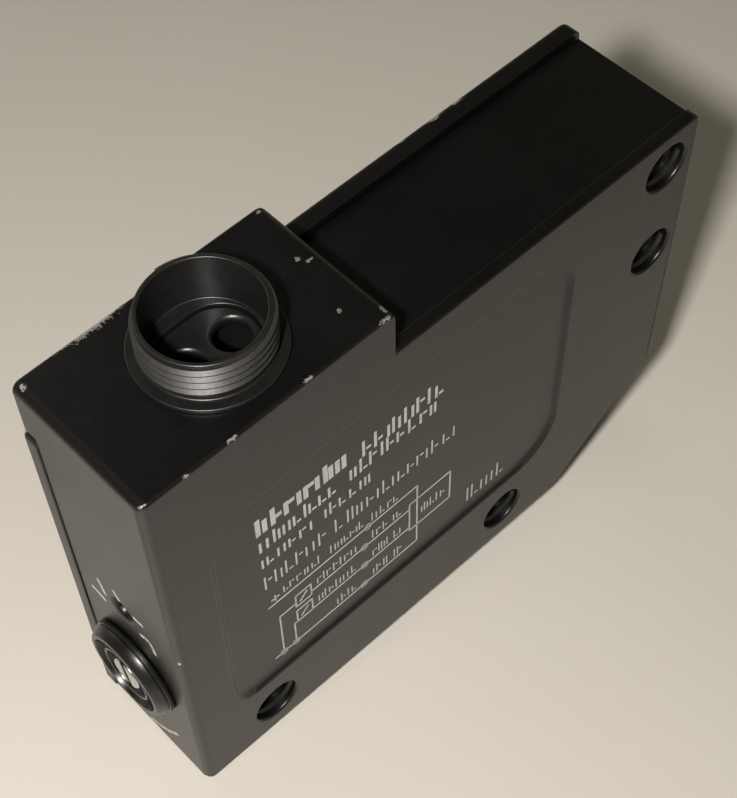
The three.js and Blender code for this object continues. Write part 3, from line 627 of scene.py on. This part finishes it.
OUTPUT_LEFT, OUTPUT_RIGHT, OUTPUT_FOOT, OUTPUT_HEAD = -2.6, 1.6, 14.9, 19.4
LOOP_X = -3.55
BOX_LEFT, BOX_RIGHT = -17.3, -15.5
LEAD_LEFT, LEAD_RIGHT = -19.2, -17.7
for start, end in (
    ((TEXT_LEFT, rows[0]), (OUTPUT_LEFT, rows[0])), ((OUTPUT_LEFT, rows[0]), (OUTPUT_LEFT, OUTPUT_HEAD)),
    ((BOX_RIGHT, rows[1]), (LOOP_X, rows[1])), ((BOX_RIGHT, rows[2]), (LOOP_X, rows[2])),
    ((TEXT_LEFT, rows[3]), (OUTPUT_LEFT, rows[3])), ((OUTPUT_LEFT, rows[3]), (OUTPUT_LEFT, OUTPUT_FOOT)),
    ((LOOP_X, OUTPUT_FOOT), (OUTPUT_RIGHT, OUTPUT_FOOT)),
    ((LOOP_X, OUTPUT_HEAD), (OUTPUT_RIGHT, OUTPUT_HEAD)), ((LOOP_X, OUTPUT_FOOT), (LOOP_X, OUTPUT_HEAD)),
    ((OUTPUT_RIGHT, OUTPUT_FOOT), (OUTPUT_RIGHT, OUTPUT_HEAD)),
    ((OUTPUT_LEFT, OUTPUT_FOOT), (OUTPUT_LEFT, OUTPUT_HEAD)),
    ((LEAD_LEFT, rows[3]), (LEAD_LEFT, rows[1] + 0.1)),
    ((LEAD_LEFT, rows[1] + 0.1), (BOX_LEFT, rows[1] + 0.1)),
    ((LEAD_RIGHT, rows[3]), (LEAD_RIGHT, rows[2])), ((LEAD_RIGHT, rows[2]), (BOX_LEFT, rows[2])),
    ((TEXT_LEFT + 0.4, rows[0] + 0.9), (TEXT_LEFT + 1.2, rows[0] + 0.9)),
    ((TEXT_LEFT + 0.8, rows[0] + 0.5), (TEXT_LEFT + 0.8, rows[0] + 1.3)),
):
    stroke(*start, *end, line)
for middle in (rows[1] + 0.4, rows[2] + 0.9):
    foot, head = middle - 0.95, middle + 0.95
    stroke(BOX_LEFT, foot, BOX_RIGHT, foot, line)
    stroke(BOX_LEFT, head, BOX_RIGHT, head, line)
    stroke(BOX_LEFT, foot, BOX_LEFT, head, line)
    stroke(BOX_RIGHT, foot, BOX_RIGHT, head, line)
    stroke(BOX_LEFT + 0.5, foot + 0.5, BOX_RIGHT - 0.5, head - 0.5, line)
RING = 0.4
RING_SIDES = 12
for place, height in (
    (-8.6, rows[0]), (-9.1, rows[1]), (-9.15, rows[2]), (-9.3, rows[3]), (LEAD_LEFT, rows[3]),
    (LEAD_RIGHT, rows[3]),
):
    for side in range(RING_SIDES):
        turn = side / RING_SIDES * 2 * math.pi
        following = (side + 1) / RING_SIDES * 2 * math.pi
        stroke(
            place + RING * math.cos(turn), height + RING * math.sin(turn),
            place + RING * math.cos(following), height + RING * math.sin(following), line * 0.8,
        )
make(workpiece(label, "label_print"), ink)

# ---- Fibre guide, optics carrier, emitter and receiver
# The moulded guide centres the two fibre ends. Under it a black carrier holds the two optical
# elements, clear epoxy bodies with tinned leads.


def oblong(half_length, half_width, foot, head):
    """An upright bar with a rounded oblong section."""
    bar = block((-half_length, -half_width, foot), (half_length, half_width, head))
    upright = [edge for edge in bar.edges if abs(edge.verts[0].co.z - edge.verts[1].co.z) > 0.01]
    bmesh.ops.bevel(
        bar, geom=upright, offset=half_width - 0.002, segments=20, profile=0.5, affect="EDGES", material=-1,
    )
    bmesh.ops.translate(bar, vec=PORT, verts=bar.verts)
    return bar


GUIDE_RADIUS = 3.3
GUIDE_SHIFT = 1
GUIDE_TOP = -0.6
FIBRE_SHIFT = 2.2
FIBRE_BORE = 1.5
guide_plastic = grained(
    "black moulded plastic of the guide", (0.007, 0.0066, 0.006), (0.012, 0.0115, 0.0105), 0.34,
    uneven=0.08, grain=6000, patch=300, relief=0.1,
)
guide = workpiece(oblong(GUIDE_RADIUS + GUIDE_SHIFT, GUIDE_RADIUS, -8.5, GUIDE_TOP), "fibre_guide")
fibre_places = [PORT + Vector((side, 0, 0)) for side in (-FIBRE_SHIFT, FIBRE_SHIFT)]
fibre_bores = bmesh.new()
clamp_rooms = bmesh.new()
for place in fibre_places:
    rod(FIBRE_BORE, -9.5, 1, place, UP, into=fibre_bores)
    rod(FIBRE_BORE + 0.45, -8, -1.5, place, UP, into=clamp_rooms)
combine(guide, fibre_bores, "DIFFERENCE")
combine(guide, clamp_rooms, "DIFFERENCE")
for place in fibre_places:
    mouth_foot, mouth_head = GUIDE_TOP - 0.25, GUIDE_TOP + 0.05
    mouth = rod(FIBRE_BORE, mouth_foot, mouth_head, place, UP, end_radius=FIBRE_BORE + 0.3)
    combine(guide, mouth, "DIFFERENCE")
break_edges(guide, 0.12)
make(guide, guide_plastic, replaces=["ferrule_guide"])


def refinish(nodes, material):
    """Gives carried-over nodes their finish."""
    for name in nodes:
        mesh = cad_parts[name].data
        mesh.materials.clear()
        mesh.materials.append(material)


carrier_plastic = grained(
    "black glass-filled nylon", (0.012, 0.012, 0.012), (0.022, 0.022, 0.021), 0.55,
    uneven=0.12, grain=3500, patch=200, relief=0.3,
)
epoxy = grained(
    "clear epoxy with a faint blue cast", (0.55, 0.60, 0.64), (0.70, 0.73, 0.75), 0.12,
    uneven=0.05, grain=2500, patch=250, relief=0.05,
)
epoxy.node_tree.nodes["Principled BSDF"].inputs["Transmission Weight"].default_value = 0.6
refinish(["optics_carrier"], carrier_plastic)
refinish(["emitter_led", "receiver_photodiode", "indicator_led"], epoxy)

# ---- Port collar
# Turned from bar, threaded for the fibre cable's union nut, blackened, and pressed into the block
# down to its flange. Its bore is smooth, with a thin rim. The thread is rubbed paler than the rest, and
# painted paler still as sheen.


def turned(profile, segments=96):
    """A solid turned round the Z axis. The profile of (radius, height) is closed, or ends on the axis."""
    solid = bmesh.new()
    points = [solid.verts.new((radius, 0, height)) for radius, height in profile]
    lines = [solid.edges.new(pair) for pair in zip(points, points[1:])]
    if profile[0][0] > 0:
        lines.append(solid.edges.new((points[-1], points[0])))
    bmesh.ops.spin(
        solid, geom=[*points, *lines], cent=(0, 0, 0), axis=(0, 0, 1), dvec=(0, 0, 0),
        angle=2 * math.pi, steps=segments, use_merge=True,
    )
    bmesh.ops.remove_doubles(solid, verts=solid.verts, dist=1e-4)
    bmesh.ops.recalc_face_normals(solid, faces=solid.faces)
    return solid


def add_ridge(piece, *sizes, **more):
    """Joins a thread to a turned workpiece that still stands on the Z axis."""
    thread = ridge(*sizes, **more)
    solid = bmesh.new()
    solid.from_mesh(piece.data)
    loose = bpy.data.meshes.new("thread")
    bmesh.ops.recalc_face_normals(thread, faces=thread.faces)
    thread.to_mesh(loose)
    thread.free()
    solid.from_mesh(loose)
    bpy.data.meshes.remove(loose)
    solid.to_mesh(piece.data)
    solid.free()


def stand_piece(piece, place, axis):
    """Moves a workpiece from the Z axis to its place and its own axis."""
    piece.data.transform(standing(place, axis))


PORT_CREST = 5.4
PORT_ROOT = 5.1
PORT_BORE = 4.7
PORT_RISE = collar_high.z / MM - BLOCK_TOP
FLANGE = 6.15
FLANGE_TOP = 0.45
collar_coating = grained(
    "blackened turned metal", (0.006, 0.0058, 0.0055), (0.016, 0.0155, 0.015), 0.36,
    uneven=0.10, grain=3800, patch=160, relief=0.15,
)
# Painted sheen: the thread's colour is paler than the collar's, partly for real rubbing and partly to stand
# in for the lamp's broad reflection on its flanks.
rubbed_thread_and_painted_sheen = grained(
    "rubbed blackening and painted sheen on the thread", (0.035, 0.034, 0.033), (0.07, 0.068, 0.066), 0.46, metallic=0.5,
    uneven=0.12, grain=4200, patch=200, relief=0.2,
)
collar = workpiece(turned([
    (PORT_BORE - 0.5, -5), (5, -5), (5, 0.02), (FLANGE, 0.02), (FLANGE, FLANGE_TOP),
    (PORT_ROOT + 0.1, FLANGE_TOP), (PORT_ROOT, FLANGE_TOP + 0.3), (PORT_ROOT, PORT_RISE - 0.1),
    (PORT_ROOT - 0.02, PORT_RISE), (PORT_BORE, PORT_RISE), (PORT_BORE, -0.3), (2, -0.3), (2, -2),
    (PORT_BORE - 0.5, -2),
]), "port_collar_turned")
stand_piece(collar, PORT, UP)
combine(collar, oblong(GUIDE_RADIUS + GUIDE_SHIFT + 0.1, GUIDE_RADIUS + 0.1, -6, 1), "DIFFERENCE")
break_edges(collar, 0.12)
make(collar, collar_coating, replaces=["port_collar"])
THREAD_PITCH = 0.75
port_thread = ridge(PORT_ROOT, PORT_CREST, THREAD_PITCH, FLANGE_TOP + 0.38, 4.25, steps=72)
bmesh.ops.recalc_face_normals(port_thread, faces=port_thread.faces)
make(workpiece(stand(port_thread, PORT, UP), "port_thread"), rubbed_thread_and_painted_sheen)

# ---- Potentiometer, bush and seal
# The potentiometer sits behind the end wall. A nickel-plated bush, pressed into the wall, carries the
# spindle and holds a rubber ring against dust.

pot_plastic = grained(
    "cream moulded plastic", (0.58, 0.55, 0.47), (0.66, 0.63, 0.56), 0.45,
    uneven=0.1, grain=3000, patch=250, relief=0.2,
)
carbon = grained(
    "printed carbon track", (0.02, 0.02, 0.024), (0.05, 0.05, 0.055), 0.5,
    uneven=0.1, grain=5000, patch=400, relief=0.2,
)
nickel = grained(
    "turned nickel-plated brass", (0.50, 0.48, 0.44), (0.62, 0.60, 0.55), 0.26, metallic=1,
    uneven=0.12, grain=3000, patch=350, relief=0.12,
)
seal_rubber = grained(
    "black nitrile rubber", (0.010, 0.010, 0.010), (0.03, 0.03, 0.028), 0.7,
    uneven=0.15, grain=2600, patch=220, relief=0.35,
)
refinish(["potentiometer_body", "potentiometer_rotor"], pot_plastic)
refinish(["resistive_track"], carbon)
refinish(["potentiometer_wiper", "spindle_bush", "connector_nut"], nickel)
refinish(["spindle_seal", "cover_seal", "connector_seal"], seal_rubber)

# ---- Spindle
# Turned brass, nickel-plated, with a screwdriver slot cut across its head. It runs through the bush in
# the end wall, and the knob is pressed on it.

KNOB_HEIGHT = (LEFT * MM - knob_low.x) / MM
SPINDLE_RADIUS = 1.5
HEAD_RISE = KNOB_HEIGHT - 0.2
HEAD_RADIUS = 1.72
SLOT_DEPTH = 0.95
SLOT_HALF_WIDTH = 0.3
SLOT_AT_REST = -12
spindle = workpiece(turned([
    (0, -3.9), (SPINDLE_RADIUS, -3.9), (SPINDLE_RADIUS, HEAD_RISE - 0.85), (HEAD_RADIUS, HEAD_RISE - 0.85),
    (HEAD_RADIUS, HEAD_RISE - 0.12), (HEAD_RADIUS - 0.12, HEAD_RISE), (0, HEAD_RISE),
], 64), "slotted_spindle")
stand_piece(spindle, KNOB_PLACE, OUT_OF_END)


def swing(solid, centre, degrees, axis):
    """Turns a solid about an axis through a point."""
    turn = Matrix.Rotation(math.radians(degrees), 4, axis)
    about = Matrix.Translation(centre) @ turn @ Matrix.Translation(-centre)
    bmesh.ops.transform(solid, matrix=about, verts=solid.verts)
    return solid


slot_cut = block(
    (LEFT - HEAD_RISE - 1, -SLOT_HALF_WIDTH, KNOB_PLACE.z - 2),
    (LEFT - HEAD_RISE + SLOT_DEPTH, SLOT_HALF_WIDTH, KNOB_PLACE.z + 2),
)
combine(spindle, swing(slot_cut, KNOB_PLACE, SLOT_AT_REST, "X"), "DIFFERENCE")
break_edges(spindle, 0.05, segments=2)
make(spindle, nickel, body="adjuster", replaces=["adjuster_spindle"])

# ---- Sensitivity knob
# Moulded in black plastic and pressed on the spindle: a drum with a stepped foot, a raised rim, and a
# well round the spindle's head.

KNOB_STEP = 0.55
knob_plastic = grained(
    "black moulded plastic of the knob", (0.007, 0.0066, 0.006), (0.013, 0.012, 0.011), 0.30,
    uneven=0.08, grain=5200, patch=260, relief=0.12,
)
recess, ring, well = KNOB_HEIGHT - 0.85, KNOB_HEIGHT - 0.2, KNOB_HEIGHT - 1.15
knob = workpiece(turned([
    (1.54, 0.12), (5.05, 0.12), (5.1, 0.2), (5.1, KNOB_STEP), (4.86, KNOB_STEP + 0.04),
    (4.86, KNOB_STEP + 0.12), (4.98, KNOB_STEP + 0.16), (4.6, KNOB_HEIGHT - 0.12), (4.45, KNOB_HEIGHT),
    (4.05, KNOB_HEIGHT), (3.9, recess), (3.05, recess), (2.95, ring), (2.65, ring), (2.5, well), (1.54, well),
]), "adjuster_knob")
break_edges(knob, 0.05)
stand_piece(knob, KNOB_PLACE, OUT_OF_END)
make(knob, knob_plastic, body="adjuster", replaces=["sensitivity_knob"])

# ---- Marks on the adjuster end
# White ink, printed on the end face: short rays round the lamp's window, and two curved marks by the
# knob, each made of short straight strokes.

marks = bmesh.new()


def end_stroke(y0, z0, y1, z1, width):
    """A straight line of ink between two points on the end face, each given by Y and Z."""
    start, end = Vector((0, y0, z0)), Vector((0, y1, z1))
    way = end - start
    turn = Matrix.Rotation(math.atan2(way.z, way.y), 4, "X")
    size = Matrix.Diagonal((INK_DEPTH, way.length + width * 0.4, width, 1))
    middle = (start + end) / 2 + Vector((LEFT - INK_DEPTH / 2, 0, 0))
    bmesh.ops.create_cube(marks, size=1, matrix=Matrix.Translation(middle) @ turn @ size)


RAY_WIDTH = 0.36
CURVE_WIDTH = 0.42
for (y0, rise0), (y1, rise1) in (
    ((2.85, 1.7), (2.3, -0.2)), ((4.3, -1.4), (2.6, -1.8)), ((0.55, 2.75), (0, 1.75)),
    ((-1.8, 1.2), (-2.95, 1.3)),
):
    end_stroke(y0, LAMP_PLACE.z + rise0, y1, LAMP_PLACE.z + rise1, RAY_WIDTH)
scale_marks = (
    ((-2.2, 8.8), (-2.8, 9.15), (-3.35, 9.1), (-3.7, 8.5), (-3.85, 7.6)),
    ((0.6, -12.8), (-0.6, -12.25), (-2, -11.2), (-3, -10.15), (-3.75, -9.2)),
)
for points in scale_marks:
    for (y0, rise0), (y1, rise1) in zip(points, points[1:]):
        end_stroke(y0, KNOB_PLACE.z + rise0, y1, KNOB_PLACE.z + rise1, CURVE_WIDTH)
make(workpiece(marks, "end_marks"), ink)

# ---- Indicator window
# A clear amber plug of moulded plastic, pressed into the end wall from inside. Its face is a little
# below the surface.

amber = grained(
    "amber lens", (0.05, 0.028, 0.008), (0.08, 0.04, 0.01), 0.3,
    uneven=0.05, grain=2000, patch=260, relief=0.05,
)
amber.node_tree.nodes["Principled BSDF"].inputs["Transmission Weight"].default_value = 0.3
window = workpiece(turned([
    (0, -3.4), (1.4, -3.4), (1.4, -2.5), (2.1, -2.5), (2.1, -1.85), (1.07, -1.85), (1.07, -0.9),
    (1.0, -0.82), (0, -0.8),
], 56), "indicator_window")
break_edges(window, 0.05, segments=2)
stand_piece(window, LAMP_PLACE, OUT_OF_END)
make(window, amber, replaces=["indicator_lens"])

# ---- Circuit board and its parts
# Green solder mask over glass fibre, with moulded chips, an aluminium can, a film capacitor, a diode,
# and two zinc-plated screws.

solder_mask = grained(
    "green solder mask", (0.010, 0.085, 0.035), (0.022, 0.15, 0.06), 0.32,
    uneven=0.08, grain=1500, patch=420, relief=0.15,
)
chip_epoxy = grained(
    "moulded chip epoxy", (0.018, 0.018, 0.019), (0.035, 0.035, 0.036), 0.5,
    uneven=0.1, grain=4200, patch=300, relief=0.3,
)
can_aluminium = grained(
    "plain aluminium can", (0.62, 0.62, 0.63), (0.72, 0.72, 0.73), 0.28, metallic=1,
    uneven=0.1, grain=2500, patch=240, relief=0.1,
)
film_resin = grained(
    "yellow dipped resin", (0.50, 0.28, 0.04), (0.60, 0.36, 0.06), 0.3,
    uneven=0.08, grain=1800, patch=260, relief=0.2,
)
zinc = grained(
    "zinc-plated steel", (0.42, 0.42, 0.41), (0.56, 0.55, 0.52), 0.34, metallic=1,
    uneven=0.14, grain=2800, patch=320, relief=0.15,
)
refinish(["circuit_board"], solder_mask)
moulded_parts = ["signal_chip", "comparator_chip", "light_output_transistor", "dark_output_transistor"]
refinish([*moulded_parts, "reverse_polarity_diode"], chip_epoxy)
refinish(["smoothing_capacitor"], can_aluminium)
refinish(["filter_capacitor"], film_resin)
refinish(["board_screw_1", "board_screw_2"], zinc)

# ---- Connector on the chamfer
# A turned shell with an M8 thread, sealed by a ring and held by a nut inside. Its insulator carries four
# gold-plated pins, each with its own wire to the board.

SHELL_CREST = 4
SHELL_ROOT = 3.6
SHELL_BORE = 2.95
SHELL_REACH = 11
shell_coating = grained(
    "blackened turned shell", (0.010, 0.010, 0.010), (0.024, 0.023, 0.022), 0.34,
    uneven=0.12, grain=3800, patch=150, relief=0.2,
)
shell = workpiece(turned([
    (SHELL_BORE, -4.8), (SHELL_CREST, -4.8), (SHELL_CREST, -0.9), (4.3, -0.9), (4.3, 0.05), (5.2, 0.05),
    (5.2, 1.4), (SHELL_ROOT + 0.1, 1.5), (SHELL_ROOT, 1.9), (SHELL_ROOT, SHELL_REACH - 0.3),
    (SHELL_ROOT - 0.25, SHELL_REACH), (SHELL_BORE, SHELL_REACH),
], 80), "connector_shell_turned")
break_edges(shell, 0.08, segments=2)
add_ridge(shell, SHELL_ROOT, SHELL_CREST, 1, 2.6, 7, steps=56)
stand_piece(shell, PLUG_PLACE, PLUG_AXIS)
make(shell, shell_coating, replaces=["connector_shell"])

insulator_plastic = grained(
    "black insulator plastic", (0.016, 0.016, 0.016), (0.03, 0.03, 0.03), 0.4,
    uneven=0.1, grain=4000, patch=240, relief=0.2,
)
gold = grained(
    "gold-plated contact", (0.78, 0.54, 0.20), (0.86, 0.64, 0.28), 0.2, metallic=1,
    uneven=0.08, grain=3000, patch=420, relief=0.08,
)
refinish(["connector_insulator"], insulator_plastic)
PIN_RADIUS = 0.5
PIN_CIRCLE = 1.6
PIN_TIP = SHELL_REACH - 1.4
for number in range(4):
    angle = (number + 0.5) * math.pi / 2
    pin = workpiece(turned([
        (0, -6.6), (PIN_RADIUS, -6.6), (PIN_RADIUS, PIN_TIP - 0.55), (PIN_RADIUS * 0.86, PIN_TIP - 0.25),
        (PIN_RADIUS * 0.5, PIN_TIP - 0.06), (0, PIN_TIP),
    ], 32), f"gold_pin_{number + 1}")
    beside = PIN_CIRCLE * (math.cos(angle) * CHAMFER_WAY + math.sin(angle) * ALONG_Y)
    stand_piece(pin, PLUG_PLACE + beside, PLUG_AXIS)
    make(pin, gold, replaces=[f"contact_pin_{number + 1}"])

for colour, tint, paler in (
    ("brown", (0.10, 0.04, 0.02), (0.15, 0.07, 0.04)), ("white", (0.62, 0.60, 0.55), (0.72, 0.70, 0.66)),
    ("blue", (0.02, 0.07, 0.30), (0.04, 0.11, 0.38)), ("black", (0.012, 0.012, 0.012), (0.03, 0.03, 0.03)),
):
    insulation = grained(
        f"{colour} wire insulation", tint, paler, 0.45, uneven=0.1, grain=2400, patch=300, relief=0.15,
    )
    refinish([f"{colour}_wire"], insulation)

# ---- Back cover
# A flat die-cast plate with the same coating and a rounded edge. It stands a little proud of the low
# top, stops under the block, and has the four through holes and four countersunk screws.

cover_wear = [
    ((13.6, cover_high.y - 0.3, cover_high.z), (0.9, 0.3, 0.3)),
    ((16.2, cover_high.y - 0.3, cover_high.z), (0.7, 0.25, 0.3)),
    ((9.8, cover_high.y - 0.2, cover_high.z), (0.5, 0.2, 0.3)),
    ((LEFT + 0.3, cover_high.y - 0.2, COVER_UNDER_BLOCK - 0.3), (0.5, 0.5, 0.4)),
    ((CHAMFER_FOOT, cover_high.y, BOTTOM + 0.1), (1.2, 0.4, 0.3)),
]
cover_coating = grained(
    "black coating on the cover", (0.0018, 0.0017, 0.0016), (0.0045, 0.0043, 0.004), 0.38,
    uneven=0.12, grain=4200, patch=100, relief=0.35, spots=cover_wear,
)
cover_left = cover_low.x
cover_outline = [
    (cover_left, BOTTOM), (CHAMFER_FOOT, BOTTOM), (RIGHT, BOTTOM + CHAMFER_RISE), (RIGHT, cover_high.z),
    (BLOCK_RIGHT + 0.2, cover_high.z), (BLOCK_RIGHT + 0.2, COVER_UNDER_BLOCK),
    (cover_left, COVER_UNDER_BLOCK),
]
cover_plate = plate(cover_outline, cover_low.y, cover_high.y)
cover_corners = [(cover_left, BOTTOM), (RIGHT, cover_high.z), (cover_left, COVER_UNDER_BLOCK)]
round_corners(cover_plate, cover_corners, CORNER_ROUND, CORNER_STEPS)
round_corners(cover_plate, chamfer_ends, CHAMFER_ROUND, CHAMFER_STEPS)
cover = workpiece(cover_plate, "cover_plate")
cover_bores = bmesh.new()
for x, z in MOUNTING_HOLES:
    rod(MOUNTING_BORE, 0, BACK + 1, (x, 0, z), ALONG_Y, 56, into=cover_bores)
combine(cover, cover_bores, "DIFFERENCE")
SCREW_HEAD = 1.8
SEAT = SCREW_HEAD + 0.2
for x, z in COVER_SCREWS:
    seat = turned([(0, -3), (1.2, -3), (1.2, -0.95), (SEAT, -0.15), (SEAT, 1), (0, 1)], 40)
    combine(cover, stand(seat, (x, cover_high.y, z), ALONG_Y), "DIFFERENCE")


def cover_edge(middle, edge):
    """The cover's outer rim is rounded most, its holes and inner edges only a little."""
    on_hole = any(math.hypot(middle.x - x, middle.z - z) < 3 for x, z in MOUNTING_HOLES + COVER_SCREWS)
    if on_hole or middle.y < cover_low.y + 0.1:
        return 0.25
    return 1


break_edges(cover, 0.55, cover_edge, segments=4)
make(cover, cover_coating, replaces=["back_cover"])

SCREW_TURNS = (20, -35, 62, 8)
for number, (x, z) in enumerate(COVER_SCREWS):
    screw = workpiece(turned([
        (0, -7), (1, -7), (1, -0.95), (SCREW_HEAD, -0.17), (SCREW_HEAD, -0.1), (0, -0.1),
    ], 48), f"countersunk_screw_{number + 1}")
    stand_piece(screw, (x, cover_high.y, z), ALONG_Y)
    cut = block((x - 2, cover_high.y - 0.6, z - 0.22), (x + 2, cover_high.y + 1, z + 0.22))
    combine(screw, swing(cut, Vector((x, 0, z)), SCREW_TURNS[number], "Y"), "DIFFERENCE")
    break_edges(screw, 0.05, segments=2)
    make(screw, zinc, replaces=[f"cover_screw_{number + 1}"])

# ---- Desk and light
# The sensor stands on the lower edge of its adjuster end and on the end of its connector, so the desk
# slopes a few degrees in the sensor's own frame.

desk_paint = grained(
    "warm white desk top", (0.70, 0.655, 0.59), (0.72, 0.68, 0.62), 0.42,
    uneven=0.06, grain=900, patch=14, relief=0.02,
)
rest_edge = Vector((LEFT, 0, BOTTOM)) * MM
shell_rim = [
    (PLUG_PLACE + PLUG_AXIS * reach + CHAMFER_WAY * radius) * MM
    for radius, reach in (
        (-SHELL_ROOT + 0.25, SHELL_REACH), (-SHELL_CREST, SHELL_REACH - 1.4),
        (-SHELL_CREST, SHELL_REACH - 0.8),
    )
]
slope = max((rest_edge.z - point.z) / (point.x - rest_edge.x) for point in shell_rim)
desk_solid = bmesh.new()
bmesh.ops.create_grid(desk_solid, x_segments=8, y_segments=8, size=1.2)
desk_mesh = bpy.data.meshes.new("desk")
desk_solid.to_mesh(desk_mesh)
desk_solid.free()
tilt = Matrix.Rotation(math.atan(slope), 4, "Y")
desk_mesh.transform(Matrix.Translation(rest_edge) @ tilt)
desk_mesh.materials.append(desk_paint)
desk = bpy.data.objects.new("desk", desk_mesh)
bpy.context.scene.collection.objects.link(desk)


def area_light(name, towards, distance, size, power, colour):
    """A square lamp that shines on the sensor from a direction."""
    lamp = bpy.data.lights.new(name, "AREA")
    lamp.size = size
    lamp.energy = power
    lamp.color = colour
    holder = bpy.data.objects.new(name, lamp)
    bpy.context.scene.collection.objects.link(holder)
    way = Vector(towards).normalized()
    holder.location = Vector((0, 0, 0.02)) + way * distance
    holder.rotation_euler = way.to_track_quat("Z", "Y").to_euler()


area_light("lamp by the camera", (-0.108, -0.071, 0.172), 0.215, 0.014, 0.57, (1, 0.965, 0.92))
area_light("soft box behind", (-0.1, 1.0, 0.6), 1.1, 0.8, 1.5, (1, 0.97, 0.90))

world = bpy.data.worlds.new("room")
bpy.context.scene.world = world
world.use_nodes = True
world_tree = world.node_tree
sky_way = world_tree.nodes.new("ShaderNodeTexCoord")
height_of = world_tree.nodes.new("ShaderNodeSeparateXYZ")
world_tree.links.new(sky_way.outputs["Generated"], height_of.inputs[0])
towards_ceiling = math_node(world_tree, "MULTIPLY", height_of.outputs["Z"], 1.3, clamp=True)
room_colour = mixed(world_tree, towards_ceiling, (0.30, 0.285, 0.20), (0.012, 0.012, 0.011))
world_tree.links.new(room_colour, world_tree.nodes["Background"].inputs["Color"])
bpy.context.scene.view_settings.view_transform = "Standard"
